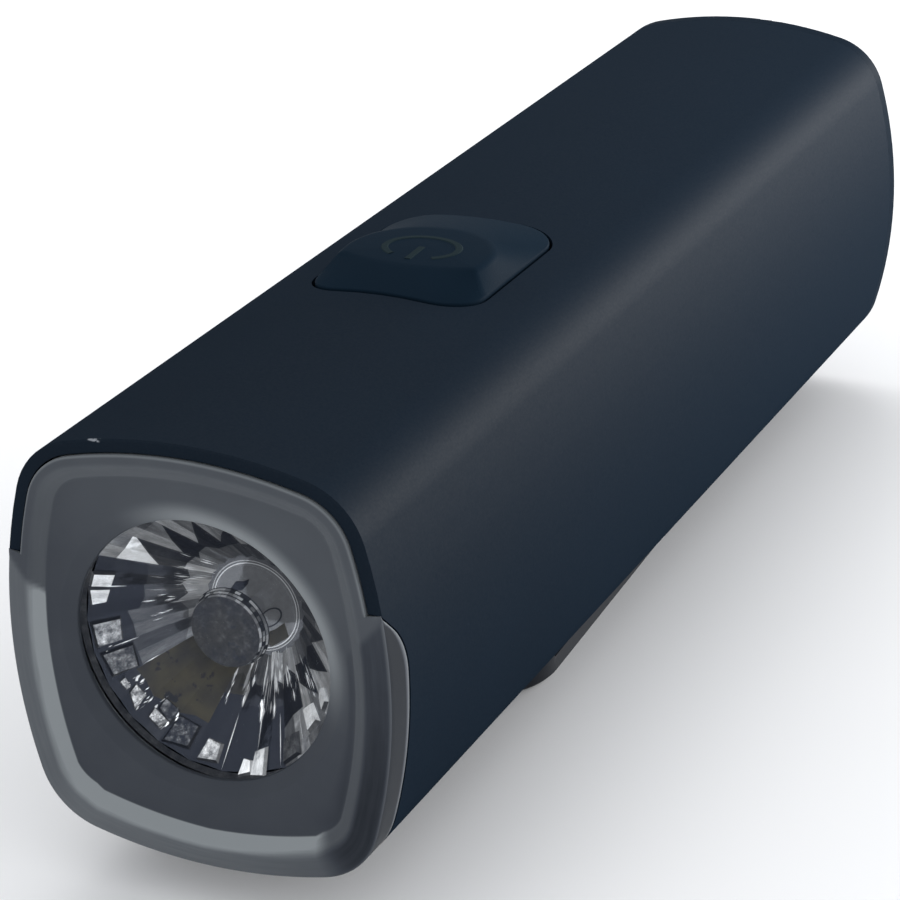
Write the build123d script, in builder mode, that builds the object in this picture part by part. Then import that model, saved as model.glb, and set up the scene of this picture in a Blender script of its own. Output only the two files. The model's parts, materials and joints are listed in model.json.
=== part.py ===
from build123d import *
import os
from math import sqrt

# Bicycle headlight: an extruded aluminium tube with a smoky lens in its front end, a soft
# push button on top, a slide-in rail underneath and a charging socket in its rear cap.
# Millimetres. X to the right, Y from the lens towards the rear, Z up. The origin is the
# middle of the rail's flat underside, where the light meets its handlebar bracket.

os.makedirs("parts", exist_ok=True)

# Housing tube
tube_width = 30.2
tube_height = 32.8
tube_length = 111.1
top_arc_radius = 38.8
side_arc_radius = 41.1
corner_radius = 5.85
tube_wall = 1.3
rim_wall = 0.95
front_edge_break = 0.15

# Where the lens reaches round the tube's sides and underside
wing_depth = 3.1
wing_top = 6.25
wing_turn_radius = 5.5

# Front lens
lip_rise = 0.4
lip_width = 1.82
lip_inner = 2.94
lip_flat = 0.14
face_depth = 0.47
lens_thickness = 2.0
skirt_wall = 1.2
skirt_end = 7.0
window_radius = 10.0
window_bevel = 1.15
window_bevel_depth = 0.6
window_recess = 0.83
window_shelf = 0.9
optic_rise = 0.3

# Seal between the lens and the heat sink
gasket_thickness = 1.0

# Collimator, its holder and the light source
optic_air_gap = 0.2
optic_flange_radius = 10.6
optic_flange = 1.0
optic_front_radius = 10.2
optic_waist_radius = 8.5
optic_rear_radius = 5.2
optic_depth = 11.5
optic_facets = 24
cavity_radius = 3.4
cavity_top_radius = 3.0
cavity_depth = 7.0
holder_wall = 0.9
holder_lip = 0.45
holder_foot_radius = 7.0
holder_foot_height = 1.2
emitter_width = 3.5
emitter_height = 0.9
dome_radius = 1.6
led_board_radius = 10.4
led_board_thickness = 1.5
led_pad_thickness = 0.3
led_pad_margin = 0.2

# Heat sink
sink_flange = 1.0
sink_skirt_wall = 1.5
sink_plate = 4.0
lead_hole_radius = 1.0

# Small screws that hold the light source and the chassis
small_screw_radius = 1.0
small_head_radius = 1.6
small_head_height = 1.2
small_screw_length = 5.0
recess_share = 0.55
recess_depth_share = 0.6
recess_sides = 6
led_screw_place = 8.8
chassis_screw_spacing = 14.8
chassis_screw_height = 6.2

# Cell and chassis
cell_diameter = 18.4
cell_length = 65.2
cell_nub_radius = 4.0
cell_nub_height = 0.9
cell_play = 0.3
insulator_thickness = 0.3
foam_thickness = 1.2
tab_width = 6.0
tab_thickness = 0.3
tab_foot = 3.0
cradle_wall = 1.0
cradle_floor = 0.8
cradle_bulkhead = 3.0
cradle_rib = 2.0
cradle_rib_shares = (0.3, 0.7)
board_rail_width = 2.2
board_rail_height = 2.2
boss_radius = 2.4

# Main circuit board and what stands on it
board_width = 21.0
board_thickness = 1.0
board_front_gap = 3.4
inductor_size = 6.8
inductor_height = 3.0
inductor_corner = 1.1
control_chip_size = 4.6
charge_chip_size = 4.0
chip_height = 1.0
capacitor_length = 2.0
capacitor_width = 1.3
capacitor_height = 1.2
capacitor_count = 5
capacitor_pitch = 2.6
plug_width = 5.6
plug_length = 4.4
plug_height = 4.2
plug_wall = 0.6
lead_radius = 0.5
lead_spacing = 2.4
lead_rise = 3.0
lead_bend = 1.6
lead_start_height = 7.6

# Push button, its switch and the bridge under it
button_centre = 40.1
button_width = 14.6
button_length = 18.8
button_corner = 3.6
button_gap = 0.25
button_rise = 1.35
button_edge = 0.12
button_top_width = 11.0
button_top_front = 3.6
button_top_rear = 6.5
button_top_round = 0.5
button_flange_reach = 0.8
button_flange_gap = 0.3
button_flange_depth = 1.7
button_stem_radius = 1.6
button_stem_length = 0.75
button_travel = 0.4
symbol_radius = 2.5
symbol_line = 0.5
symbol_depth = 0.15
symbol_bar = 2.6
symbol_opening = 70
press_gap = 0.05
switch_width = 6.0
switch_height = 2.5
switch_corner = 0.4
plunger_radius = 1.7
plunger_rise = 1.0
plunger_fit = 0.05
bridge_gap = 0.2
bridge_thickness = 0.8
bridge_hole_radius = 3.4
bridge_leg = 1.6

# Charging socket and its cover
socket_width = 8.94
socket_height = 3.2
socket_length = 7.3
socket_wall = 0.3
tongue_width = 6.7
tongue_thickness = 0.7
tongue_recess = 0.9
cover_width = 13.4
cover_height = 7.0
cover_thickness = 0.8
cover_corner = 2.0
cover_gap = 0.25
cover_bead_radius = 0.4
cover_boss_width = 9.8
cover_boss_height = 3.9
cover_boss_gap = 0.3
anchor_height = 2.2
anchor_gap = 0.3
anchor_peg_radius = 1.0
anchor_head_radius = 1.6
anchor_head = 0.8
anchor_fit = 0.05
nail_notch_radius = 1.6

# Rear cap
cap_plate = 1.9
cap_edge_round = 0.7
cap_skirt_wall = 1.0
cap_skirt_length = 7.0
seal_width = 1.6
seal_setback = 2.4
seal_groove = 0.55
seal_play = 0.02
rear_screw_side = 6.9
rear_screw_height = 7.8
rear_screw_radius = 1.25
rear_head_radius = 2.2
rear_screw_length = 12.0
screw_head_angle = 45

# Slide-in rail underneath
rail_height = 3.5
rail_centre = 53.0
rail_length = 34.0
rail_front_width = 18.0
rail_rear_width = 14.9
rail_nose_radius = 6.5
rail_flange = 1.6
rail_groove = 1.2
rail_groove_depth = 1.6
rail_edge_break = 0.3
rail_pad_thickness = 0.5
rail_screw_spacing = 18.0
rail_screw_radius = 1.5
rail_head_radius = 2.8
latch_notch_length = 3.0
latch_notch_width = 6.0
latch_notch_depth = 1.2
latch_notch_setback = 4.0
nut_plate_length = 26.0
nut_plate_width = 9.0
nut_plate_thickness = 1.6
nut_plate_gap = 0.1
nut_plate_corner = 1.5

# Fits shared by several pieces
slip = 0.1
seam = 0.1
screw_play = 0.05
hole_play = 0.1
overrun = 2.0

# Places that follow from the sizes above
half_width = tube_width / 2
half_height = tube_height / 2
axis_z = rail_height + half_height
front_y = -rail_centre
total_length = tube_length + cap_plate
lens_back = face_depth + lens_thickness
window_front = face_depth + window_recess
rim_depth = skirt_end + gasket_thickness + sink_flange
sink_front = skirt_end + gasket_thickness
optic_start = lens_back + optic_air_gap
optic_cone = optic_start + optic_flange
optic_end = optic_start + optic_depth
optic_waist = (optic_cone + optic_end) / 2
led_board_front = optic_end + optic_air_gap
led_board_back = led_board_front + led_board_thickness
sink_face = led_board_back + led_pad_thickness
sink_back = sink_face + sink_plate
chassis_screw_x = chassis_screw_spacing / 2
chassis_screw_z = chassis_screw_height - half_height
rear_screw_x = half_width - rear_screw_side
rear_screw_z = rear_screw_height - half_height
led_screw_points = ((-led_screw_place, 0), (led_screw_place, 0))
chassis_points = ((-chassis_screw_x, chassis_screw_z), (chassis_screw_x, chassis_screw_z))
rear_screw_points = ((-rear_screw_x, rear_screw_z), (rear_screw_x, rear_screw_z))

inner_bottom = tube_wall - half_height
inner_arc_radius = top_arc_radius - tube_wall
nut_plate_sag = inner_arc_radius - sqrt(inner_arc_radius**2 - (nut_plate_width / 2) ** 2)
nut_plate_low = inner_bottom + nut_plate_sag + nut_plate_gap
cradle_low = nut_plate_low + nut_plate_thickness + nut_plate_gap
cell_radius = cell_diameter / 2
cell_z = cradle_low + cradle_floor + cell_play + cell_radius
cradle_front = sink_back
cell_seat_front = cradle_front + cradle_bulkhead
cell_front = cell_seat_front + insulator_thickness + cell_nub_height + tab_thickness
cell_back = cell_front + cell_length
cell_seat_back = cell_back + tab_thickness + foam_thickness
cradle_back = cell_seat_back + cradle_bulkhead

flange_low = half_height - tube_wall - button_flange_depth
stem_low = flange_low - button_stem_length
plunger_top = stem_low - press_gap
switch_top = plunger_top - plunger_rise
board_top = switch_top - switch_height
board_low = board_top - board_thickness
bridge_top = flange_low - button_travel - bridge_gap
board_front = sink_back + board_front_gap
board_back = tube_length - slip
socket_z = board_top + socket_height / 2
cover_low = socket_z - cover_height / 2
cover_face = total_length - cover_bead_radius
cover_floor = cover_face - cover_thickness
button_top_z = half_height + button_rise


def across(distance):
    """Plane square to the tube's length, facing the rear, with its sketch upright."""
    return Plane(origin=(0, front_y + distance, axis_z), x_dir=(-1, 0, 0), z_dir=(0, 1, 0))


def optic_across(distance):
    """The same plane, centred on the lamp's optical axis."""
    return Plane(origin=(0, front_y + distance, axis_z + optic_rise), x_dir=(-1, 0, 0), z_dir=(0, 1, 0))


def level(height):
    """Horizontal plane at a height above the tube's axis, measured from the front edge."""
    return Plane(origin=(0, front_y, axis_z + height))


side_plane = Plane(origin=(0, front_y, axis_z), x_dir=(0, 1, 0), z_dir=(1, 0, 0))


def tube_section(inset):
    """The tube's rounded square, four shallow arcs with rounded corners, drawn in by inset."""
    top_drop = top_arc_radius - half_height
    side_drop = side_arc_radius - half_width
    with BuildSketch(Plane.XY, mode=Mode.PRIVATE) as section:
        with Locations((0, -top_drop)):
            Circle(top_arc_radius - inset)
        with Locations((0, top_drop)):
            Circle(top_arc_radius - inset, mode=Mode.INTERSECT)
        with Locations((-side_drop, 0)):
            Circle(side_arc_radius - inset, mode=Mode.INTERSECT)
        with Locations((side_drop, 0)):
            Circle(side_arc_radius - inset, mode=Mode.INTERSECT)
        fillet(section.vertices(), corner_radius - inset)
    return section.sketch


def slab(inset, start, end, mode=Mode.ADD):
    """A length of the tube's section from start to end."""
    with BuildSketch(across(start)) as section:
        add(tube_section(inset))
    extrude(section.sketch, amount=end - start, mode=mode)


def wing_region(gap):
    """Everything ahead of and below the tube's cut-back front edge, drawn in by gap."""
    with BuildSketch(side_plane) as region:
        with BuildLine():
            Polyline(
                (-overrun, wing_top + overrun),
                (wing_depth, wing_top - wing_depth),
                (wing_depth, -half_height - overrun),
                (-overrun, -half_height - overrun),
                close=True,
            )
        make_face()
        turn = region.vertices().group_by(Axis.X)[-1].sort_by(Axis.Y)[-1]
        fillet(turn, wing_turn_radius)
        if gap:
            offset(amount=-gap, kind=Kind.INTERSECTION, mode=Mode.REPLACE)
    return region.sketch


def save(piece, name):
    """Names a finished piece and writes it."""
    piece.part.label = name
    export_step(piece.part, f"parts/{name}.step")
    print(f"{name:20s} {len(piece.part.solids())} solid(s) {piece.part.volume:9.1f} mm3")


# Housing tube
with BuildPart() as body_tube:
    slab(0, 0, tube_length)
    front_edges = body_tube.faces().sort_by(Axis.Y)[0].edges()
    chamfer(front_edges, front_edge_break)
    slab(tube_wall, -overrun, tube_length + overrun, mode=Mode.SUBTRACT)
    slab(rim_wall, -overrun, rim_depth, mode=Mode.SUBTRACT)
    extrude(wing_region(0), amount=half_width + overrun, both=True, mode=Mode.SUBTRACT)
    with BuildSketch(level(0)):
        with Locations((0, button_centre)):
            RectangleRounded(button_width, button_length, button_corner)
    extrude(amount=half_height + overrun, mode=Mode.SUBTRACT)
    with BuildSketch(level(0)):
        with Locations((0, rail_centre)):
            with GridLocations(0, rail_screw_spacing, 1, 2):
                Circle(rail_screw_radius + hole_play)
    extrude(amount=-half_height - overrun, mode=Mode.SUBTRACT)
save(body_tube, "body_tube")

# The space that the tube's rim leaves round the lens
with BuildPart() as rim_space:
    slab(-overrun, -overrun, rim_depth)
    slab(rim_wall + slip, -overrun, rim_depth, mode=Mode.SUBTRACT)
    extrude(wing_region(seam), amount=half_width + 2 * overrun, both=True, mode=Mode.SUBTRACT)

# Smoky frosted lens with its raised lip and the wings that wrap the tube's lower front
with BuildPart() as front_lens:
    slab(0, -lip_rise, skirt_end)
    lens_face = front_lens.faces().sort_by(Axis.Y)[0]
    chamfer(lens_face.edges(), length=lip_width, length2=lip_rise, reference=lens_face)
    slab(lip_inner, -lip_rise - overrun, face_depth, mode=Mode.SUBTRACT)
    lip_face = front_lens.faces().sort_by(Axis.Y)[0]
    lip_edges = lip_face.inner_wires()[0].edges()
    chamfer(lip_edges, length=lip_inner - lip_width - lip_flat, length2=face_depth + lip_rise - lip_flat,
            reference=lip_face)
    add(rim_space.part, mode=Mode.SUBTRACT)
    slab(rim_wall + slip + skirt_wall, lens_back, skirt_end + overrun, mode=Mode.SUBTRACT)
    with BuildSketch(optic_across(-overrun)):
        Circle(window_radius)
    extrude(amount=lens_back + 2 * overrun, mode=Mode.SUBTRACT)
    with BuildSketch(optic_across(face_depth)):
        Circle(window_radius + window_bevel)
    with BuildSketch(optic_across(face_depth + window_bevel_depth)):
        Circle(window_radius)
    loft(mode=Mode.SUBTRACT)
    with BuildSketch(optic_across(window_front)):
        Circle(window_radius + window_shelf)
    extrude(amount=lens_thickness + overrun, mode=Mode.SUBTRACT)
save(front_lens, "front_lens")

# Clear window, the second shot of the lens, set in from behind
with BuildPart() as lens_window:
    with BuildSketch(optic_across(window_front)):
        Circle(window_radius + window_shelf - seam)
    extrude(amount=lens_back - window_front)
save(lens_window, "lens_window")

# Seal squeezed between the lens skirt and the heat sink
with BuildPart() as lens_gasket:
    slab(rim_wall + slip, skirt_end, sink_front)
    slab(rim_wall + slip + skirt_wall, skirt_end, sink_front, mode=Mode.SUBTRACT)
save(lens_gasket, "lens_gasket")

# Clear collimator: a flanged, faceted cone with a cavity for the light source
with BuildPart() as collimator:
    with BuildSketch(optic_across(optic_start)):
        Circle(optic_flange_radius)
    extrude(amount=optic_flange)
    for start, end, start_radius, end_radius in (
        (optic_cone, optic_waist, optic_front_radius, optic_waist_radius),
        (optic_waist, optic_end, optic_waist_radius, optic_rear_radius),
    ):
        with BuildSketch(optic_across(start)):
            RegularPolygon(start_radius, optic_facets)
        with BuildSketch(optic_across(end)):
            RegularPolygon(end_radius, optic_facets)
        loft()
    with BuildSketch(optic_across(optic_end)):
        Circle(cavity_radius)
    with BuildSketch(optic_across(optic_end - cavity_depth)):
        Circle(cavity_top_radius)
    loft(mode=Mode.SUBTRACT)
save(collimator, "collimator")

# Holder round the collimator, standing on the light source's board
holder_reach = optic_front_radius + holder_lip
holder_waist = optic_waist_radius + holder_lip
holder_foot_start = led_board_front - holder_foot_height
with BuildPart() as optic_holder:
    with BuildSketch(side_plane):
        with BuildLine():
            Polyline(
                (optic_cone, optic_rise + holder_reach),
                (optic_cone, optic_rise + holder_reach + holder_wall),
                (optic_waist, optic_rise + holder_waist + holder_wall),
                (holder_foot_start, optic_rise + holder_foot_radius),
                (led_board_front, optic_rise + holder_foot_radius),
                (led_board_front, optic_rise + holder_foot_radius - holder_wall),
                (holder_foot_start, optic_rise + holder_foot_radius - holder_wall),
                (optic_waist, optic_rise + holder_waist),
                close=True,
            )
        make_face()
    revolve(axis=Axis((0, 0, axis_z + optic_rise), (0, 1, 0)))
save(optic_holder, "optic_holder")

# Light source: a square package with a clear dome
with BuildPart() as led_emitter:
    with BuildSketch(optic_across(led_board_front - emitter_height)):
        Rectangle(emitter_width, emitter_width)
    extrude(amount=emitter_height)
    with BuildSketch(side_plane):
        with BuildLine():
            CenterArc((led_board_front - emitter_height, optic_rise), dome_radius, 90, 90)
            Polyline(
                (led_board_front - emitter_height - dome_radius, optic_rise),
                (led_board_front - emitter_height, optic_rise),
                (led_board_front - emitter_height, optic_rise + dome_radius),
            )
        make_face()
    revolve(axis=Axis((0, 0, axis_z + optic_rise), (0, 1, 0)))
save(led_emitter, "led_emitter")

# Round metal-core board of the light source, and the pad under it
with BuildPart() as led_board:
    with BuildSketch(optic_across(led_board_front)):
        Circle(led_board_radius)
        with Locations(*led_screw_points):
            Circle(small_screw_radius + hole_play, mode=Mode.SUBTRACT)
    extrude(amount=led_board_thickness)
save(led_board, "led_board")

with BuildPart() as thermal_pad:
    with BuildSketch(optic_across(led_board_back)):
        Circle(led_board_radius - led_pad_margin)
        with Locations(*led_screw_points):
            Circle(small_screw_radius + hole_play, mode=Mode.SUBTRACT)
    extrude(amount=led_pad_thickness)
save(thermal_pad, "thermal_pad")

# Heat sink: a cup that fills the tube behind the lens, clamped on the tube's front shoulder
lead_z = board_top + lead_rise
with BuildPart() as heat_sink:
    slab(rim_wall + slip, sink_front, rim_depth)
    slab(tube_wall + slip, sink_front, sink_back)
    slab(tube_wall + slip + sink_skirt_wall, sink_front - overrun, sink_face, mode=Mode.SUBTRACT)
    with BuildSketch(optic_across(sink_face)):
        with Locations(*led_screw_points):
            Circle(small_screw_radius + screw_play)
    extrude(amount=sink_plate, mode=Mode.SUBTRACT)
    with BuildSketch(across(sink_face)):
        with Locations(*chassis_points):
            Circle(small_screw_radius + hole_play)
        with Locations((0, lead_z)):
            SlotCenterToCenter(lead_spacing, 2 * lead_hole_radius)
    extrude(amount=sink_plate, mode=Mode.SUBTRACT)
save(heat_sink, "heat_sink")


def small_screws(plane, points):
    """Pan-head screws standing on a plane, driven away from its viewer."""
    with BuildPart(mode=Mode.PRIVATE) as screws:
        with BuildSketch(plane.offset(-small_head_height)) as heads:
            with Locations(*points):
                Circle(small_head_radius)
        extrude(heads.sketch, amount=small_head_height)
        with BuildSketch(plane) as shanks:
            with Locations(*points):
                Circle(small_screw_radius)
        extrude(shanks.sketch, amount=small_screw_length)
        with BuildSketch(plane.offset(-small_head_height)) as recesses:
            with Locations(*points):
                RegularPolygon(small_head_radius * recess_share, recess_sides)
        extrude(recesses.sketch, amount=small_head_height * recess_depth_share, mode=Mode.SUBTRACT)
    return screws


led_screws = small_screws(optic_across(led_board_front), led_screw_points)
save(led_screws, "led_board_screws")
chassis_screws = small_screws(across(sink_face), chassis_points)
save(chassis_screws, "chassis_screws")

# Cell with its contact nub towards the lens
cell_axis = Plane(origin=(0, front_y, axis_z + cell_z), x_dir=(-1, 0, 0), z_dir=(0, 1, 0))
with BuildPart() as battery_cell:
    with BuildSketch(cell_axis.offset(cell_front)):
        Circle(cell_radius)
    extrude(amount=cell_length)
    fillet(battery_cell.edges(), cell_play)
    with BuildSketch(cell_axis.offset(cell_front)):
        Circle(cell_nub_radius)
    extrude(amount=-cell_nub_height)
save(battery_cell, "battery_cell")

with BuildPart() as cell_insulator:
    with BuildSketch(cell_axis.offset(cell_front - insulator_thickness)):
        Circle(cell_radius - cell_play)
        Circle(cell_nub_radius + cell_play, mode=Mode.SUBTRACT)
    extrude(amount=insulator_thickness)
save(cell_insulator, "cell_insulator")


def contact_tab(start, turn):
    """Nickel strip from the cell's end up to the board, its foot turned along the board."""
    with BuildPart(mode=Mode.PRIVATE) as tab:
        with BuildSketch(across(start)) as strip:
            with Locations((0, (cell_z - cell_nub_radius + board_low) / 2)):
                Rectangle(tab_width, board_low - cell_z + cell_nub_radius)
        extrude(strip.sketch, amount=tab_thickness)
        with BuildSketch(level(board_low)) as foot:
            with Locations((0, start + tab_thickness / 2 + turn * tab_foot / 2)):
                Rectangle(tab_width, tab_foot + tab_thickness)
        extrude(foot.sketch, amount=-tab_thickness)
    return tab


positive_tab = contact_tab(cell_front - cell_nub_height - tab_thickness, 1)
save(positive_tab, "positive_tab")
negative_tab = contact_tab(cell_back, -1)
save(negative_tab, "negative_tab")

with BuildPart() as cell_foam:
    with BuildSketch(cell_axis.offset(cell_back + tab_thickness)):
        Circle(cell_radius - cell_play)
    extrude(amount=foam_thickness)
save(cell_foam, "cell_foam")

# Chassis: a trough for the cell between two bulkheads, with ribs and rails for the board
cradle_inset = tube_wall + cell_play
cradle_back_inset = tube_wall + slip + cap_skirt_wall + cell_play
rail_x = board_width / 2 - board_rail_width / 2
rib_span = cell_seat_back - cell_seat_front
with BuildPart() as battery_cradle:
    with BuildSketch(cell_axis.offset(cradle_front)):
        Circle(cell_radius + cell_play + cradle_wall)
    extrude(amount=cradle_back - cradle_front)
    slab(cradle_inset, cradle_front, cell_seat_front)
    slab(cradle_back_inset, cell_seat_back, cradle_back)
    for share in cradle_rib_shares:
        rib_start = cell_seat_front + rib_span * share
        slab(cradle_inset, rib_start, rib_start + cradle_rib)
    with BuildSketch(cell_axis.offset(cell_seat_front)):
        Circle(cell_radius + cell_play)
    extrude(amount=rib_span, mode=Mode.SUBTRACT)
    with BuildSketch(level(cell_z)):
        with Locations((0, cell_seat_front + rib_span / 2)):
            Rectangle(2 * (cell_radius + cell_play), rib_span)
    extrude(amount=half_height, mode=Mode.SUBTRACT)
    with BuildSketch(across(cradle_front - overrun)):
        with Locations((0, board_low + half_height)):
            Rectangle(tube_width, tube_height)
        with Locations((0, cradle_low - half_height)):
            Rectangle(tube_width, tube_height)
    extrude(amount=cradle_back - cradle_front + 2 * overrun, mode=Mode.SUBTRACT)
    with BuildSketch(level(board_low)):
        with Locations((-rail_x, (cradle_front + board_back) / 2), (rail_x, (cradle_front + board_back) / 2)):
            Rectangle(board_rail_width, board_back - cradle_front)
    extrude(amount=-board_rail_height)
    with BuildSketch(across(cradle_back)):
        with Locations(*rear_screw_points):
            Circle(boss_radius)
    extrude(amount=tube_length - cradle_back)
    with BuildSketch(across(tube_length)):
        with Locations(*rear_screw_points):
            Circle(rear_screw_radius + screw_play)
    extrude(amount=-rear_screw_length, mode=Mode.SUBTRACT)
    with BuildSketch(across(cradle_front)):
        with Locations(*chassis_points):
            Circle(small_screw_radius + screw_play)
    extrude(amount=small_screw_length, mode=Mode.SUBTRACT)
    with BuildSketch(cell_axis.offset(cell_seat_front - cell_nub_height)):
        Circle(cell_nub_radius + cell_play)
    extrude(amount=cell_nub_height, mode=Mode.SUBTRACT)
save(battery_cradle, "battery_cradle")

# Main board, from behind the heat sink to the charging socket
with BuildPart() as main_board:
    with BuildSketch(level(board_low)):
        with Locations((0, (board_front + board_back) / 2)):
            Rectangle(board_width, board_back - board_front)
    extrude(amount=board_thickness)
save(main_board, "main_board")


def board_block(centres, width, length, height):
    """Rectangular parts standing on the board."""
    with BuildPart(mode=Mode.PRIVATE) as blocks:
        with BuildSketch(level(board_top)) as outlines:
            with Locations(*centres):
                Rectangle(width, length)
        extrude(outlines.sketch, amount=height)
    return blocks


button_front = button_centre - button_length / 2
button_back = button_centre + button_length / 2
chips_start = button_back + inductor_size
inductor = board_block([(-rail_x / 2, chips_start)], inductor_size, inductor_size, inductor_height)
with BuildPart() as driver_inductor:
    add(inductor.part)
    chamfer(driver_inductor.edges().filter_by(Axis.Z), inductor_corner)
save(driver_inductor, "driver_inductor")
control_chip = board_block([(rail_x / 2, chips_start)], control_chip_size, control_chip_size, chip_height)
save(control_chip, "control_chip")
charge_chip_y = board_back - socket_length - charge_chip_size
charge_chip = board_block([(0, charge_chip_y)], charge_chip_size, charge_chip_size, chip_height)
save(charge_chip, "charge_chip")
row_start = chips_start + inductor_size
capacitor_places = [(rail_x / 2, row_start + index * capacitor_pitch) for index in range(capacitor_count)]
capacitors = board_block(capacitor_places, capacitor_length, capacitor_width, capacitor_height)
save(capacitors, "board_capacitors")

# Plug that joins the light source's leads to the board
plug_front = board_front
with BuildPart() as lead_plug:
    with BuildSketch(level(board_top)):
        with Locations((0, plug_front + plug_length / 2)):
            Rectangle(plug_width, plug_length)
    extrude(amount=plug_height)
    with BuildSketch(across(plug_front)):
        with Locations((-lead_spacing / 2, lead_z), (lead_spacing / 2, lead_z)):
            Circle(lead_radius + screw_play)
    extrude(amount=plug_length - plug_wall, mode=Mode.SUBTRACT)
save(lead_plug, "lead_plug")


def lead(side, name):
    """Insulated lead from its pad on the light source's board, over the edge to the plug."""
    pad_y = front_y + led_board_front - lead_radius - press_gap
    x = side * lead_spacing / 2
    top_z = axis_z + lead_z
    with BuildPart(mode=Mode.PRIVATE) as wire:
        with BuildLine(mode=Mode.PRIVATE) as route:
            FilletPolyline(
                (x, pad_y, axis_z + optic_rise + lead_start_height),
                (x, pad_y, top_z),
                (x, front_y + plug_front + plug_length - plug_wall, top_z),
                radius=lead_bend,
            )
        with BuildSketch(Plane(origin=route.line @ 0, z_dir=route.line % 0), mode=Mode.PRIVATE) as core:
            Circle(lead_radius)
        sweep(core.sketch, path=route.line)
    save(wire, name)


lead(-1, "positive_lead")
lead(1, "negative_lead")

# Push switch under the button
with BuildPart() as switch_body:
    with BuildSketch(level(board_top)):
        with Locations((0, button_centre)):
            RectangleRounded(switch_width, switch_width, switch_corner)
    extrude(amount=switch_height)
    with BuildSketch(level(switch_top)):
        with Locations((0, button_centre)):
            Circle(plunger_radius + plunger_fit)
    extrude(amount=-plunger_rise - button_travel - press_gap, mode=Mode.SUBTRACT)
save(switch_body, "switch_body")

with BuildPart() as switch_plunger:
    with BuildSketch(level(switch_top - plunger_rise)):
        with Locations((0, button_centre)):
            Circle(plunger_radius)
    extrude(amount=2 * plunger_rise)
save(switch_plunger, "switch_plunger")

# Bridge that keeps the button's flange up, standing on the board round the switch
bridge_width = button_width + 2 * button_flange_reach
bridge_length = button_length + 2 * button_flange_reach
with BuildPart() as button_bridge:
    with BuildSketch(level(bridge_top - bridge_thickness)):
        with Locations((0, button_centre)):
            RectangleRounded(bridge_width, bridge_length, button_corner + button_flange_reach)
            Circle(bridge_hole_radius, mode=Mode.SUBTRACT)
    extrude(amount=bridge_thickness)
    with BuildSketch(level(board_top)):
        with Locations((0, button_centre)):
            with GridLocations(button_width - 2 * bridge_leg, button_length - 2 * bridge_leg, 2, 2):
                Rectangle(bridge_leg, bridge_leg)
    extrude(amount=bridge_top - bridge_thickness - board_top)
save(button_bridge, "button_bridge")

# Soft button: sloping facets round a raised pad with the power symbol
key_width = button_width - 2 * button_gap
key_length = button_length - 2 * button_gap
pad_front = button_front + button_top_front
pad_back = button_back - button_top_rear
pad_centre = (pad_front + pad_back) / 2
side_sag = top_arc_radius - sqrt(top_arc_radius**2 - (key_width / 2) ** 2)
edge_z = half_height + button_edge
side_z = edge_z - side_sag
pad_sag = top_arc_radius - sqrt(top_arc_radius**2 - (button_top_width / 2) ** 2)
with BuildPart() as key_facets:
    with BuildSketch(side_plane):
        with BuildLine():
            Polyline(
                (button_front, 0),
                (button_front, edge_z),
                (pad_front, button_top_z),
                (pad_back, button_top_z),
                (button_back, edge_z),
                (button_back, 0),
                close=True,
            )
        make_face()
    extrude(amount=button_width, both=True)
    with BuildSketch(across(button_front - overrun)):
        with BuildLine():
            ThreePointArc(
                (-button_top_width / 2, button_top_z - pad_sag),
                (0, button_top_z),
                (button_top_width / 2, button_top_z - pad_sag),
            )
            Polyline(
                (button_top_width / 2, button_top_z - pad_sag),
                (key_width / 2, side_z),
                (key_width / 2, 0),
                (-key_width / 2, 0),
                (-key_width / 2, side_z),
                (-button_top_width / 2, button_top_z - pad_sag),
            )
        make_face()
    extrude(amount=button_length + 2 * overrun, mode=Mode.INTERSECT)

# The button's flange, a layer that follows the underside of the tube's wall
with BuildPart() as button_flange:
    slab(tube_wall + button_flange_gap, button_front - overrun, button_back + overrun)
    with BuildSketch(level(flange_low)):
        with Locations((0, button_centre)):
            RectangleRounded(bridge_width, bridge_length, button_corner + button_flange_reach)
    extrude(amount=half_height, mode=Mode.INTERSECT)

with BuildPart() as power_button:
    with BuildSketch(level(flange_low)):
        with Locations((0, button_centre)):
            RectangleRounded(key_width, key_length, button_corner - button_gap)
    extrude(amount=half_height)
    add(key_facets.part, mode=Mode.INTERSECT)
    pad_face = power_button.faces().sort_by(Axis.Z)[-1]
    fillet(pad_face.edges(), button_top_round)
    add(button_flange.part)
    with BuildSketch(level(flange_low)):
        with Locations((0, button_centre)):
            Circle(button_stem_radius)
    extrude(amount=-button_stem_length)
    with BuildSketch(level(button_top_z + overrun)):
        with Locations((0, pad_centre)):
            with BuildLine():
                CenterArc((0, 0), symbol_radius, -90 + symbol_opening / 2, 360 - symbol_opening)
                Line((0, 0), (0, -symbol_bar))
            trace(line_width=symbol_line)
    extrude(amount=-overrun - symbol_depth, mode=Mode.SUBTRACT)
save(power_button, "power_button")

# Charging socket: a pressed shell on the board with its contact tongue inside
socket_start = tube_length - socket_length
with BuildPart() as usb_shell:
    with BuildSketch(across(socket_start)):
        with Locations((0, socket_z)):
            SlotOverall(socket_width, socket_height)
    extrude(amount=socket_length)
    with BuildSketch(across(socket_start + socket_wall)):
        with Locations((0, socket_z)):
            SlotOverall(socket_width - 2 * socket_wall, socket_height - 2 * socket_wall)
    extrude(amount=socket_length, mode=Mode.SUBTRACT)
save(usb_shell, "usb_shell")

with BuildPart() as usb_tongue:
    with BuildSketch(across(socket_start + socket_wall)):
        with Locations((0, socket_z)):
            Rectangle(tongue_width, tongue_thickness)
    extrude(amount=socket_length - socket_wall - tongue_recess)
save(usb_tongue, "usb_tongue")

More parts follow.
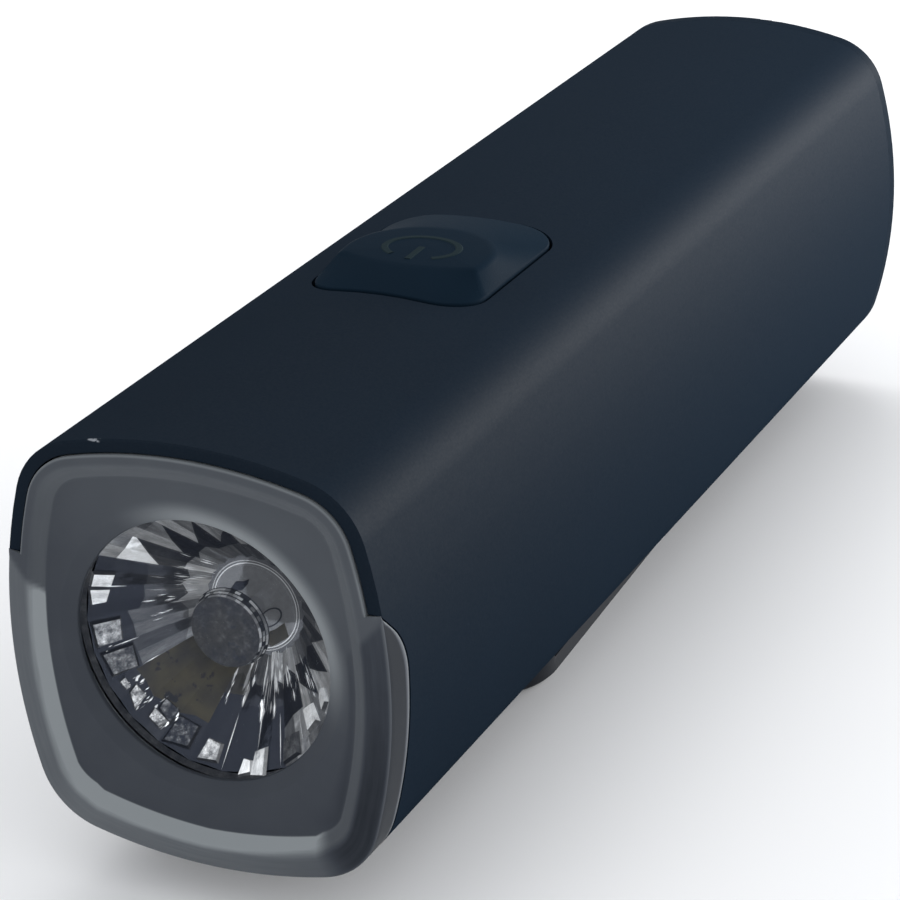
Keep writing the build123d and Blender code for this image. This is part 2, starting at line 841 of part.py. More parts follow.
# Soft cover over the socket: a flap with a boss, folding about a bead along its lower edge
boss_depth = cover_floor - tube_length - cover_gap
with BuildPart() as usb_cover:
    with BuildSketch(across(cover_floor)):
        with Locations((0, socket_z)):
            RectangleRounded(cover_width, cover_height, cover_corner)
        with Locations((0, cover_low + cover_corner / 2)):
            Rectangle(cover_width, cover_corner)
    extrude(amount=cover_thickness)
    with BuildSketch(across(cover_floor)):
        with Locations((0, socket_z)):
            SlotOverall(cover_boss_width, cover_boss_height)
    extrude(amount=-boss_depth)
    with BuildSketch(side_plane):
        with Locations((cover_face, cover_low)):
            Circle(cover_bead_radius)
    extrude(amount=cover_width / 2, both=True)
save(usb_cover, "usb_cover")

# The cover's anchor, below its bead, with two pegs through the cap
anchor_z = cover_low - cover_bead_radius - anchor_gap - anchor_height / 2
anchor_points = ((-cover_width / 4, anchor_z), (cover_width / 4, anchor_z))
with BuildPart() as cover_anchor:
    with BuildSketch(across(cover_floor)):
        with Locations((0, anchor_z)):
            Rectangle(cover_width, anchor_height)
    extrude(amount=cover_thickness)
    with BuildSketch(across(tube_length)):
        with Locations(*anchor_points):
            Circle(anchor_peg_radius)
    extrude(amount=cover_floor - tube_length)
    with BuildSketch(across(tube_length)):
        with Locations(*anchor_points):
            Circle(anchor_head_radius)
    extrude(amount=-anchor_head)
save(cover_anchor, "cover_anchor")

# Rear cap: a flush end plate with a skirt inside the tube
skirt_start = tube_length - cap_skirt_length
seal_start = tube_length - seal_setback - seal_width
recess_low = anchor_z - anchor_height / 2 - cover_gap
recess_high = cover_low + cover_height + cover_gap
with BuildPart() as seal_space:
    slab(0, seal_start, seal_start + seal_width)
    slab(tube_wall + slip + seal_groove, seal_start, seal_start + seal_width, mode=Mode.SUBTRACT)

with BuildPart() as rear_cap:
    slab(0, tube_length, total_length)
    fillet(rear_cap.faces().sort_by(Axis.Y)[-1].edges(), cap_edge_round)
    slab(tube_wall + slip, skirt_start, tube_length)
    slab(tube_wall + slip + cap_skirt_wall, skirt_start - overrun, tube_length, mode=Mode.SUBTRACT)
    add(seal_space.part, mode=Mode.SUBTRACT)
    with BuildSketch(across(cover_floor)):
        with Locations((0, (recess_low + recess_high) / 2)):
            RectangleRounded(cover_width + 2 * cover_gap, recess_high - recess_low, cover_corner)
        with Locations((0, recess_low + cover_corner / 2)):
            Rectangle(cover_width + 2 * cover_gap, cover_corner)
        with Locations((0, recess_high)):
            Circle(nail_notch_radius)
    extrude(amount=overrun, mode=Mode.SUBTRACT)
    with BuildSketch(across(tube_length)):
        with Locations((0, socket_z)):
            SlotOverall(cover_boss_width + 2 * cover_boss_gap, cover_boss_height + 2 * cover_boss_gap)
        with Locations(*anchor_points):
            Circle(anchor_peg_radius + anchor_fit)
    extrude(amount=cap_plate, mode=Mode.SUBTRACT)
    with Locations(across(total_length)):
        with Locations(*rear_screw_points):
            CounterSinkHole(rear_screw_radius + hole_play, rear_head_radius + hole_play, depth=2 * cap_plate)
save(rear_cap, "rear_cap")

with BuildPart() as rear_seal:
    slab(tube_wall + seal_play, seal_start + seal_play, seal_start + seal_width - seal_play)
    slab(tube_wall + slip + seal_groove - seal_play, seal_start, seal_start + seal_width, mode=Mode.SUBTRACT)
save(rear_seal, "rear_seal")


def sunk_screws(plane, points, shank_radius, head_radius, length):
    """Countersunk screws whose heads lie a little under a plane, driven against its normal."""
    head_height = head_radius - shank_radius
    with BuildPart(mode=Mode.PRIVATE) as screws:
        head_plane = plane.offset(-hole_play)
        with BuildSketch(head_plane) as heads:
            with Locations(*points):
                Circle(head_radius)
        extrude(heads.sketch, amount=-head_height, taper=screw_head_angle)
        with BuildSketch(head_plane.offset(-head_height)) as shanks:
            with Locations(*points):
                Circle(shank_radius)
        extrude(shanks.sketch, amount=-length + head_height)
        with BuildSketch(head_plane) as recesses:
            with Locations(*points):
                RegularPolygon(head_radius * recess_share, recess_sides)
        extrude(recesses.sketch, amount=-head_height * recess_depth_share, mode=Mode.SUBTRACT)
    return screws


rear_screws = sunk_screws(
    across(total_length), rear_screw_points, rear_screw_radius, rear_head_radius, rear_screw_length
)
save(rear_screws, "rear_screws")

# Slide-in rail underneath: a tapered, grooved foot with a rounded nose towards the lens
rail_screw_points = ((0, -rail_screw_spacing / 2), (0, rail_screw_spacing / 2))
underside = Plane.XY.rotated((180, 0, 0))


def rail_outline(inset):
    """The rail's plan, wider at its rounded nose, with its sides drawn in by inset."""
    with BuildSketch(Plane.XY, mode=Mode.PRIVATE) as outline:
        with BuildLine():
            Polyline(
                (-rail_front_width / 2 + inset, -rail_length / 2),
                (rail_front_width / 2 - inset, -rail_length / 2),
                (rail_rear_width / 2 - inset, rail_length / 2),
                (-rail_rear_width / 2 + inset, rail_length / 2),
                close=True,
            )
        make_face()
        fillet(outline.vertices().group_by(Axis.Y)[0], rail_nose_radius - inset)
    return outline.sketch


with BuildPart() as mount_rail:
    extrude(rail_outline(0), amount=rail_height + half_height)
    slab(-rail_pad_thickness, 0, tube_length, mode=Mode.SUBTRACT)
    with BuildSketch(Plane.XY.offset(rail_flange)):
        with Locations((0, rail_nose_radius)):
            Rectangle(2 * rail_front_width, rail_length)
        add(rail_outline(rail_groove_depth), mode=Mode.SUBTRACT)
    extrude(amount=rail_groove, mode=Mode.SUBTRACT)
    chamfer(mount_rail.faces().sort_by(Axis.Z)[0].edges(), rail_edge_break)
    with BuildSketch(Plane.XY):
        with Locations((0, rail_length / 2 - latch_notch_setback - latch_notch_length / 2)):
            Rectangle(latch_notch_width, latch_notch_length)
    extrude(amount=latch_notch_depth, mode=Mode.SUBTRACT)
    with Locations(underside):
        with Locations(*rail_screw_points):
            CounterSinkHole(rail_screw_radius + hole_play, rail_head_radius + hole_play, depth=rail_height)
save(mount_rail, "mount_rail")

with BuildPart() as rail_pad:
    slab(-rail_pad_thickness + seal_play, 0, tube_length)
    slab(-seal_play, 0, tube_length, mode=Mode.SUBTRACT)
    extrude(rail_outline(seam), amount=rail_height + half_height, mode=Mode.INTERSECT)
    with BuildSketch(Plane.XY):
        with Locations(*rail_screw_points):
            Circle(rail_screw_radius + hole_play)
    extrude(amount=rail_height + half_height, mode=Mode.SUBTRACT)
save(rail_pad, "rail_pad")

rail_screw_length = axis_z + cradle_low - nut_plate_gap - hole_play
rail_screws = sunk_screws(underside, rail_screw_points, rail_screw_radius, rail_head_radius, rail_screw_length)
save(rail_screws, "rail_screws")

with BuildPart() as nut_plate:
    with BuildSketch(level(nut_plate_low)):
        with Locations((0, rail_centre)):
            RectangleRounded(nut_plate_width, nut_plate_length, nut_plate_corner)
            with Locations(*rail_screw_points):
                Circle(rail_screw_radius + screw_play, mode=Mode.SUBTRACT)
    extrude(amount=nut_plate_thickness)
save(nut_plate, "nut_plate")
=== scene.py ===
import json
import math
import random

import bmesh
import bpy
from mathutils import Matrix, Vector


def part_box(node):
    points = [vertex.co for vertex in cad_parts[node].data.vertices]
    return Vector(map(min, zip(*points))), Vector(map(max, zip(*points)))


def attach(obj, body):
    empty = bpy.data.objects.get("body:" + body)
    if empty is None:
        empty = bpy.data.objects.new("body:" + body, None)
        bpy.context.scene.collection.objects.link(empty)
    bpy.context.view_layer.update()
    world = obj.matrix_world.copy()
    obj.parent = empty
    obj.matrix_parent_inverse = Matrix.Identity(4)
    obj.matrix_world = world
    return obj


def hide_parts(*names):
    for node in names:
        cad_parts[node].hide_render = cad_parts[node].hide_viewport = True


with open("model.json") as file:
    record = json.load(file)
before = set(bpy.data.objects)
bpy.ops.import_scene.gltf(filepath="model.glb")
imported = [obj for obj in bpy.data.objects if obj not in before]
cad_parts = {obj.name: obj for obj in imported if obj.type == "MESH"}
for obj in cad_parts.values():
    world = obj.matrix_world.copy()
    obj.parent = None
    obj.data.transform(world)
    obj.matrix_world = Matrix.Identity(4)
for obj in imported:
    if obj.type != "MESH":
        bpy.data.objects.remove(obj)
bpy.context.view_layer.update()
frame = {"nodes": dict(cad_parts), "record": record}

# Bicycle headlight, dressed round its CAD frame. Lengths in the dictionaries are millimetres from
# the middle of the tube's front edge: x to the right, depth towards the rear, rise up.
mm = 0.001
cadNodes = frame["nodes"]
tubeLow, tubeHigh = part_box("body_tube")
halfWidth = (tubeHigh.x - tubeLow.x) / 2 / mm
halfHeight = (tubeHigh.z - tubeLow.z) / 2 / mm
axisHeight = (tubeHigh.z + tubeLow.z) / 2
frontEdge = tubeLow.y
windowRise = 0.3  # the window and the optic sit this far above the tube's axis


def spot(x, depth, rise):
    return Vector((x * mm, frontEdge + depth * mm, axisHeight + rise * mm))


def addObject(name, data):
    made = bpy.data.objects.new(name, data)
    bpy.context.scene.collection.objects.link(made)
    return made


# The camera comes first
cameraView = {
    "place": (0.09921, -0.21808, 0.11842),
    "yaw": 25.60,  # degrees to the right of the lens
    "pitch": 23.42,  # degrees above it
    "roll": -1.78,
    "lens": 123.96,
    "sensor": 36.0,
}


def placeCamera(view):
    yaw, pitch, roll = (math.radians(view[key]) for key in ("yaw", "pitch", "roll"))
    lens = bpy.data.cameras.new("view")
    lens.lens = view["lens"]
    lens.sensor_width = view["sensor"]
    lens.clip_start = 0.01
    camera = addObject("view", lens)
    turn = Matrix.Rotation(yaw, 4, "Z") @ Matrix.Rotation(math.pi / 2 - pitch, 4, "X")
    turn = turn @ Matrix.Rotation(roll, 4, "Z")
    camera.matrix_world = Matrix.Translation(view["place"]) @ turn
    bpy.context.scene.camera = camera


placeCamera(cameraView)
print("camera placed")


class Wire:
    # one output socket; Python's operators on it add Math nodes
    def __init__(self, paint, socket):
        self.paint = paint
        self.socket = socket

    def out(self, name):
        return Wire(self.paint, self.socket.node.outputs[name])

    def math(self, operation, other=0.0, swapped=False):
        first, second = (other, self) if swapped else (self, other)
        return self.paint.node("ShaderNodeMath", {"operation": operation}, {0: first, 1: second})

    def __add__(self, other):
        return self.math("ADD", other)

    def __radd__(self, other):
        return self.math("ADD", other, swapped=True)

    def __sub__(self, other):
        return self.math("SUBTRACT", other)

    def __rsub__(self, other):
        return self.math("SUBTRACT", other, swapped=True)

    def __mul__(self, other):
        return self.math("MULTIPLY", other)

    def __rmul__(self, other):
        return self.math("MULTIPLY", other, swapped=True)

    def __truediv__(self, other):
        return self.math("DIVIDE", other)

    def __rtruediv__(self, other):
        return self.math("DIVIDE", other, swapped=True)

    def __pow__(self, other):
        return self.math("POWER", other)

    def __abs__(self):
        return self.math("ABSOLUTE")


class Paint:
    # the nodes of one material, or of the world
    def __init__(self, name, world=None):
        self.name = name
        self.owner = world or bpy.data.materials.new(name)
        self.owner.use_nodes = True
        self.tree = self.owner.node_tree
        self.tree.nodes.clear()

    def node(self, kind, settings=None, inputs=None, output=0):
        made = self.tree.nodes.new(kind)
        for key, value in (settings or {}).items():
            setattr(made, key, value)
        for key, value in (inputs or {}).items():
            socket = made.inputs[key]
            if isinstance(value, Wire):
                self.tree.links.new(value.socket, socket)
            elif socket.type == "RGBA":
                socket.default_value = (*value[:3], 1.0)
            else:
                socket.default_value = value
        return Wire(self, made.outputs[output]) if made.outputs else None

    def place(self):
        return self.node("ShaderNodeTexCoord").out("Object")

    def axes(self):
        split = self.node("ShaderNodeSeparateXYZ", inputs={0: self.place()})
        return split.out("X"), split.out("Y"), split.out("Z")

    def fromAxis(self):
        # millimetres across and up from the tube's axis
        x, y, z = self.axes()
        return x / mm, (z - axisHeight) / mm

    def length(self, across, up):
        return (across * across + up * up) ** 0.5

    def angle(self, across, up):
        # counted from the upper right, where its jump doesn't show
        turned = {0: across - up, 1: (across + up) * -1}
        return self.node("ShaderNodeMath", {"operation": "ARCTAN2"}, turned)

    def joined(self, x, y):
        return self.node("ShaderNodeCombineXYZ", inputs={0: x, 1: y})

    def noiseOn(self, vector, scale, detail, roughness):
        sizes = {"Vector": vector, "Scale": scale, "Detail": detail, "Roughness": roughness}
        return self.node("ShaderNodeTexNoise", inputs=sizes)

    def noise(self, size, detail=2.0, roughness=0.5, stretch=(1, 1, 1)):
        # size is the width in millimetres of one blotch
        scaled = self.node("ShaderNodeMapping", inputs={"Vector": self.place(), "Scale": stretch})
        return self.noiseOn(scaled, 1 / (size * mm), detail, roughness)

    def cells(self, size, feature="F1", randomness=1.0):
        sizes = {"Vector": self.place(), "Scale": 1 / (size * mm), "Randomness": randomness}
        return self.node("ShaderNodeTexVoronoi", {"feature": feature}, sizes).out("Distance")

    def fade(self, value, start, end):
        # 0 at start, 1 at end and smooth between them
        ends = {"Value": value, "From Min": start, "From Max": end}
        return self.node("ShaderNodeMapRange", {"interpolation_type": "SMOOTHSTEP"}, ends)

    def blend(self, factor, first, second):
        colours = {0: factor, 6: first, 7: second}
        return self.node("ShaderNodeMix", {"data_type": "RGBA"}, colours, 2)

    def bump(self, height, relief):
        # relief is the height in millimetres that a change from 0 to 1 stands for
        return self.node("ShaderNodeBump", inputs={"Height": height, "Distance": relief * mm})

    def mark(self, name):
        # a value stored on the mesh's points
        return self.node("ShaderNodeAttribute", {"attribute_name": name}).out("Fac")

    def finish(self, **values):
        # words of a socket's name are joined with underscores
        inputs = {key.replace("_", " "): value for key, value in values.items()}
        shader = self.node("ShaderNodeBsdfPrincipled", inputs=inputs)
        self.node("ShaderNodeOutputMaterial", inputs={"Surface": shader})
        finishes[self.name] = self.owner
        return self.owner


def scaled(colour, share):
    return tuple(c * share for c in colour)


# Finishes, one for each material slot of the record
finishes = {}

anodised = {
    "colour": (0.0022, 0.0072, 0.0146),
    # how much paler the clouds, the rear (painted light) and the specks are
    "cloudTint": 1.3,
    "rearPaintedLightTint": 1.8,
    "speckTint": 2.2,
    "cloud": 9.0,
    "speck": 0.35,
    "length": 115,
    "roughness": 0.45,
    "glaze": 0.039,
    "glazeRoughness": 0.57,
    "glazeIndex": 3.0,
    "blast": 0.20,  # size of one dimple
    "relief": 0.008,
    # where the front edge has lost a crumb of its black
    "worn": (0.24, 0.26, 0.29),
    "chip": -6.9,
    "chipReach": 0.60,
    "chipDepth": 0.28,
    "chipRise": 15.60,
    "crumb": 0.5,
}


def makeAnodised(look):
    paint = Paint("black_anodised")
    x, y, z = paint.axes()
    cloud = paint.noise(look["cloud"], 3.0)
    blast = paint.noise(look["blast"], 2.0, 0.6)
    specks = paint.noise(look["speck"], 4.0, 0.7)
    # painted light: the tube turns paler towards the rear, and its coat grows stronger there for a brighter
    # painted sheen
    rear = paint.fade(y, frontEdge, frontEdge + look["length"] * mm)
    colour = paint.blend(cloud * 0.5, look["colour"], scaled(look["colour"], look["cloudTint"]))
    colour = paint.blend(rear * 0.6, colour, scaled(look["colour"], look["rearPaintedLightTint"]))
    shown = paint.fade(specks, 0.62, 0.80) * 0.5
    colour = paint.blend(shown, colour, scaled(look["colour"], look["speckTint"]))
    # the worn crumb: its depth, height, width and ragged outline
    worn = 1 - paint.fade(y, frontEdge + 0.1 * mm, frontEdge + look["chipDepth"] * mm)
    edgeHeight = axisHeight + look["chipRise"] * mm
    worn = worn * paint.fade(z, edgeHeight, edgeHeight + 0.08 * mm)
    worn = worn * paint.fade(abs(x / mm - look["chip"]), look["chipReach"], 0.35)
    worn = worn * paint.fade(paint.noise(look["crumb"], 2.0, 0.6), 0.42, 0.52)
    glaze = (0.55 + blast * 0.7 + specks * 0.2) * (0.88 + rear * 0.22)
    paint.finish(
        Base_Color=paint.blend(worn, colour, look["worn"]),
        Metallic=worn,
        Roughness=look["roughness"] + specks * 0.10,
        Specular_IOR_Level=0.0,
        Coat_Weight=glaze * look["glaze"],
        Coat_Roughness=look["glazeRoughness"],
        Coat_IOR=look["glazeIndex"],
        Normal=paint.bump(blast, look["relief"]),
    )


makeAnodised(anodised)

smoky = {
    # painted shade, the lens's own dark colour, and its colour where the painted light is strongest
    "paintedShade": (0.008, 0.011, 0.016),
    "dark": (0.041, 0.047, 0.059),
    "light": (0.280, 0.302, 0.316),
    "base": 0.035,
    "slab": 0.105,  # painted light: how far the face lightens towards the upper right
    "slabEnds": (-3.0, 13.0),
    "paintedCrescent": 0.70,  # painted light gathered beside the window
    "crescentEnds": (3.0, 9.5),
    "crescentRadii": (11.9, 10.2),
    "streaks": (3.0, 2.2),  # how many across the lip, and along it
    "streakAmount": 0.90,
    "cloud": 3.5,
    "frost": 0.10,
    "roughness": 0.32,
    "gloss": 0.08,
    "relief": 0.003,
}


def makeSmoky(look):
    paint = Paint("smoky_lens")
    across, up = paint.fromAxis()
    cloud = paint.noise(look["cloud"], 3.0)
    frost = paint.noise(look["frost"], 2.0, 0.6)
    perInset, perTurn = look["streaks"]
    along = paint.joined(paint.mark("inset") * perInset, paint.angle(across, up) * perTurn)
    streaks = paint.noiseOn(along, 1.0, 4.0, 0.65)
    # painted light: the face lighter towards the upper right, a crescent beside the window and the lip's
    # painted light from the glow mark
    slab = look["base"] + paint.fade(across * 0.45 + up * 0.90, *look["slabEnds"]) * look["slab"]
    ring = paint.fade(paint.length(across, up - windowRise), *look["crescentRadii"])
    toUpperRight = paint.fade(across * 0.62 + up * 0.78, *look["crescentEnds"])
    glow = paint.mark("glow") * (1 - look["streakAmount"] / 2 + streaks * look["streakAmount"])
    level = glow + slab + ring * toUpperRight * look["paintedCrescent"] + cloud * 0.06 - 0.03
    lit = paint.blend(level, look["dark"], look["light"])
    paint.finish(
        # below zero the level turns into painted shade
        Base_Color=paint.blend(level * -6.0, lit, look["paintedShade"]),
        Roughness=look["roughness"] + cloud * 0.12,
        Specular_IOR_Level=look["gloss"],
        Normal=paint.bump(frost, look["relief"]),
    )


makeSmoky(smoky)

window = {
    "clear": (0.90, 0.92, 0.94),
    "hazy": (0.80, 0.83, 0.86),
    "cover": 0.06,  # share of the light that doesn't pass straight through
    "index": 1.03,  # low, as the coated plastic hardly mirrors or bends
    "haze": 6.0,
}


def makeClearWindow(look):
    paint = Paint("clear_window")
    haze = paint.noise(look["haze"], 3.0)
    paint.finish(
        Base_Color=paint.blend(haze, look["clear"], look["hazy"]),
        Roughness=0.02 + haze * 0.03,
        Transmission_Weight=1.0,
        IOR=look["index"],
        Alpha=look["cover"] * (0.6 + haze * 0.8),
    )


makeClearWindow(window)

facetLook = {
    "dark": (0.022, 0.026, 0.036),
    "bright": (0.90, 0.93, 0.96),
    # painted reflection of the warm wall
    "brown": (0.054, 0.052, 0.044),
    "streaks": (14.0, 0.45),  # how many round the optic, and along its radius
    "streakAmount": 0.9,
    "contrast": 2.2,
    "crumb": 0.55,
    "speck": 0.75,
    "patch": 2.6,
    "edgeTint": (0.10, 0.10, 0.11),
    "mirror": 0.85,
    "paintedGlow": 0.45,  # painted glow, standing in for light that the clear plastic carries to its facets
    "relief": 0.02,
}


def makeClearOptic(look):
    # moulded facets with painted reflections and a painted glow
    paint = Paint("clear_optic")
    tone, warm, mottle = paint.mark("tone"), paint.mark("warm"), paint.mark("mottle")
    across, up = paint.fromAxis()
    up = up - windowRise
    radius = paint.length(across, up)
    perTurn, perRadius = look["streaks"]
    polar = paint.joined(paint.angle(across, up) * perTurn, radius * perRadius)
    streak = (paint.noiseOn(polar, 1.0, 5.0, 0.65) - 0.5) * paint.fade(radius, 3.6, 4.6)
    streak = streak * (0.05 + tone * look["streakAmount"])
    crumbs = (paint.noise(look["crumb"], 4.0, 0.75) - 0.5) * mottle * 0.8
    level = paint.fade(tone + streak + crumbs, -0.1, 1.1) ** look["contrast"]
    colour = paint.blend(level, look["dark"], look["bright"])
    patches = paint.fade(paint.noise(look["patch"], 3.0), 0.35, 0.7)
    specks = paint.fade(paint.noise(look["speck"], 3.0, 0.6), 0.60, 0.66)
    brown = paint.blend(patches * 0.6, look["brown"], look["dark"])
    brown = paint.blend(specks * 0.8, brown, look["dark"])
    shown = paint.blend(warm, colour, brown)
    paint.finish(
        Base_Color=shown,
        Metallic=look["mirror"],
        Roughness=0.09 + warm * 0.4,
        Specular_Tint=look["edgeTint"],
        Emission_Color=shown,
        Emission_Strength=look["paintedGlow"],
        Normal=paint.bump(paint.noise(0.8, 1.0), look["relief"]),
    )
    # the painted glow only shows; left out of the light sampling it adds no grain to its neighbours
    finishes["clear_optic"].cycles.emission_sampling = "NONE"


makeClearOptic(facetLook)

# Metals: colour, roughness, size of the brushing and its stretch along the axes
metals = {
    "bare_aluminium": ((0.62, 0.63, 0.65), 0.24, 0.4, (1, 0.08, 1)),
    "steel": ((0.52, 0.52, 0.53), 0.22, 0.3, (0.15, 1, 1)),
    "black_steel": ((0.030, 0.031, 0.034), 0.28, 0.2, (1, 1, 1)),
    "nickel": ((0.60, 0.57, 0.52), 0.20, 0.3, (1, 1, 0.1)),
}
# Plastics and rubbers: colour, roughness, size of the grain, its relief and the gloss
moulded = {
    "holder_plastic": ((0.016, 0.017, 0.020), 0.36, 0.25, 0.006),
    "chassis_plastic": ((0.050, 0.050, 0.054), 0.44, 0.30, 0.008),
    "cap_plastic": ((0.0060, 0.0125, 0.0220), 0.49, 0.22, 0.008, 0.006),
    "rail_plastic": ((0.0120, 0.0140, 0.0180), 0.46, 0.28, 0.012),
    "switch_black": ((0.018, 0.018, 0.020), 0.32, 0.20, 0.004),
    "plunger_grey": ((0.15, 0.15, 0.155), 0.39, 0.20, 0.004),
    "plug_white": ((0.62, 0.60, 0.52), 0.39, 0.25, 0.005),
    "chip_black": ((0.020, 0.020, 0.021), 0.42, 0.10, 0.004),
    "ferrite": ((0.055, 0.054, 0.056), 0.54, 0.15, 0.012),
    "ceramic_tan": ((0.33, 0.22, 0.12), 0.29, 0.10, 0.002),
    "lead_red": ((0.42, 0.015, 0.012), 0.36, 0.15, 0.003),
    "lead_black": ((0.012, 0.012, 0.013), 0.36, 0.15, 0.003),
    "insulator_paper": ((0.50, 0.46, 0.38), 0.79, 0.35, 0.010),
    "thermal_grey": ((0.22, 0.24, 0.27), 0.59, 0.40, 0.010),
    "button_silicone": ((0.0056, 0.0126, 0.0218), 0.49, 0.16, 0.014, 0.004),
    "cover_silicone": ((0.0090, 0.0120, 0.0165), 0.54, 0.20, 0.006, 0.04),
    "black_silicone": ((0.0100, 0.0110, 0.0130), 0.49, 0.25, 0.005),
    "black_foam": ((0.0150, 0.0150, 0.0160), 0.89, 0.35, 0.060),
}
markColours = {"button_silicone": (0.0140, 0.0235, 0.0280)}  # of raised marks


def makeMetal(name, colour, roughness, grain, stretch):
    paint = Paint(name)
    lines = paint.noise(grain, 3.0, 0.6, stretch)
    tarnish = paint.noise(4.0, 3.0)
    paint.finish(
        Base_Color=paint.blend(tarnish, colour, scaled(colour, 0.72)),
        Metallic=1.0,
        Roughness=roughness + lines * 0.16,
        Normal=paint.bump(lines, 0.006),
    )


def makeMoulded(name, colour, roughness, grain, relief, gloss=0.1):
    paint = Paint(name)
    patch = paint.noise(5.0, 3.0)
    patchy = paint.blend(patch * 0.6, colour, scaled(colour, 1.3))
    paint.finish(
        Base_Color=paint.blend(paint.mark("mark"), patchy, markColours.get(name, colour)),
        Roughness=roughness + patch * 0.12,
        Specular_IOR_Level=gloss,
        Normal=paint.bump(paint.noise(grain, 3.0, 0.6), relief),
    )


for slotName, values in metals.items():
    makeMetal(slotName, *values)
for slotName, values in moulded.items():
    makeMoulded(slotName, *values)

# Boards: solder mask over copper tracks, with tinned holes
boards = {
    "green_board": {"mask": (0.006, 0.070, 0.035), "track": (0.020, 0.125, 0.060)},
    "white_board": {"mask": (0.68, 0.70, 0.68), "track": (0.55, 0.57, 0.56)},
}
boardLook = {"tinned": (0.50, 0.42, 0.26), "trackGap": 2.6, "holeGap": 3.4, "coat": 0.2, "relief": 0.03}


def makeBoard(name, colours, look):
    paint = Paint(name)
    copper = 1 - paint.fade(paint.cells(look["trackGap"], "DISTANCE_TO_EDGE", 0.55), 0.05, 0.09)
    holes = 1 - paint.fade(paint.cells(look["holeGap"]), 0.10, 0.13)
    tracks = paint.blend(copper, colours["mask"], colours["track"])
    paint.finish(
        Base_Color=paint.blend(holes, tracks, look["tinned"]),
        Metallic=holes * 0.9,
        Roughness=0.34 - holes * 0.08,
        Coat_Weight=look["coat"],
        Normal=paint.bump(copper, look["relief"]),
    )


for slotName, colours in boards.items():
    makeBoard(slotName, colours, boardLook)

# Cell's shrink sleeve, with a faint ripple and its pale insulating ring at the front
wrap = {
    "blue": ((0.010, 0.085, 0.26), (0.014, 0.11, 0.31)),
    "ring": (0.60, 0.60, 0.58),
    "ringWidth": 1.4,
    "ripple": 1.2,
    "coat": 0.25,
    "coatRoughness": 0.2,
    "relief": 0.02,
}


def makeWrap(look):
    paint = Paint("cell_wrap")
    y = paint.axes()[1]
    ripple = paint.noise(look["ripple"], 3.0, 0.6, (1, 0.2, 1))
    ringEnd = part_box("battery_cell")[0].y + look["ringWidth"] * mm
    sleeve = paint.blend(ripple, *look["blue"])
    paint.finish(
        Base_Color=paint.blend(paint.fade(y, ringEnd, ringEnd + 0.6 * mm), look["ring"], sleeve),
        Roughness=0.28 + ripple * 0.12,
        Coat_Weight=look["coat"],
        Coat_Roughness=look["coatRoughness"],
        Normal=paint.bump(ripple, look["relief"]),
    )


makeWrap(wrap)

# Yellow phosphor square under a clear dome
emitter = {
    "yellow": ((0.72, 0.50, 0.06), (0.80, 0.62, 0.14)),
    "crumb": 0.12,
    "coat": 0.6,
    "coatRoughness": 0.05,
    "relief": 0.004,
}


def makeEmitter(look):
    paint = Paint("emitter")
    crumbs = paint.noise(look["crumb"], 2.0, 0.6)
    paint.finish(
        Base_Color=paint.blend(crumbs, *look["yellow"]),
        Roughness=0.22 + crumbs * 0.1,
        Coat_Weight=look["coat"],
        Coat_Roughness=look["coatRoughness"],
        Normal=paint.bump(crumbs, look["relief"]),
    )


makeEmitter(emitter)
print("finishes made:", len(finishes))

# CAD pieces: weld, merge flat triangles and break the sharp edges as moulding and machining do
edgeBreaks = {
    0.05: ("rear_screws", "rail_screws"),
    0.06: ("main_board", "rail_pad", "control_chip", "charge_chip"),
    0.08: ("button_bridge", "board_capacitors"),
    0.09: ("rear_cap",),
    0.10: ("body_tube", "heat_sink", "nut_plate", "lead_plug", "switch_body"),
    0.12: ("mount_rail", "battery_cradle"),
    0.15: ("cover_anchor", "driver_inductor"),
    0.18: ("usb_cover",),
}


def softenEdges(node, width):
    weld = node.modifiers.new("weld", "WELD")
    weld.merge_threshold = 0.001 * mm
    flatten = node.modifiers.new("flatten", "DECIMATE")
    flatten.decimate_type = "DISSOLVE"
    flatten.angle_limit = math.radians(0.3)
    rounding = node.modifiers.new("rounding", "BEVEL")
    rounding.width = width * mm
    rounding.segments = 2
    rounding.limit_method = "ANGLE"
    rounding.angle_limit = math.radians(28)
    shading = node.modifiers.new("shading", "WEIGHTED_NORMAL")
    shading.keep_sharp = True


for part in frame["record"]["subparts"]:
    materials = cadNodes[part["node"]].data.materials
    materials.clear()
    materials.append(finishes[part["material_slot"]])
for width, nodeNames in edgeBreaks.items():
    for nodeName in nodeNames:
        softenEdges(cadNodes[nodeName], width)
print("CAD pieces finished:", len(cadNodes))


def makePiece(name, points, faces, slotName, body="housing", smooth=True, marks=None, closed=True):
    mesh = bpy.data.meshes.new(name)
    mesh.from_pydata([tuple(p) for p in points], [], faces)
    for markName, values in (marks or {}).items():
        stored = mesh.attributes.new(markName, "FLOAT", "POINT")
        stored.data.foreach_set("value", values)
    if closed:
        work = bmesh.new()
        work.from_mesh(mesh)
        bmesh.ops.remove_doubles(work, verts=work.verts, dist=0.002 * mm)
        bmesh.ops.dissolve_degenerate(work, edges=work.edges, dist=0.001 * mm)
        bmesh.ops.recalc_face_normals(work, faces=work.faces)
        work.to_mesh(mesh)
        work.free()
    for polygon in mesh.polygons:
        polygon.use_smooth = smooth
    if smooth:
        mesh.set_sharp_from_angle(angle=math.radians(38))
    mesh.materials.append(finishes[slotName])
    piece = addObject(name, mesh)
    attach(piece, body)
    return piece


def gridFaces(rings, columns, closeRings=False):
    # quads between rings of points; the columns always close
    faces = []
    for ring in range(rings if closeRings else rings - 1):
        here, there = ring * columns, (ring + 1) % rings * columns
        for column in range(columns):
            after = (column + 1) % columns
            faces.append((here + column, here + after, there + after, there + column))
    return faces


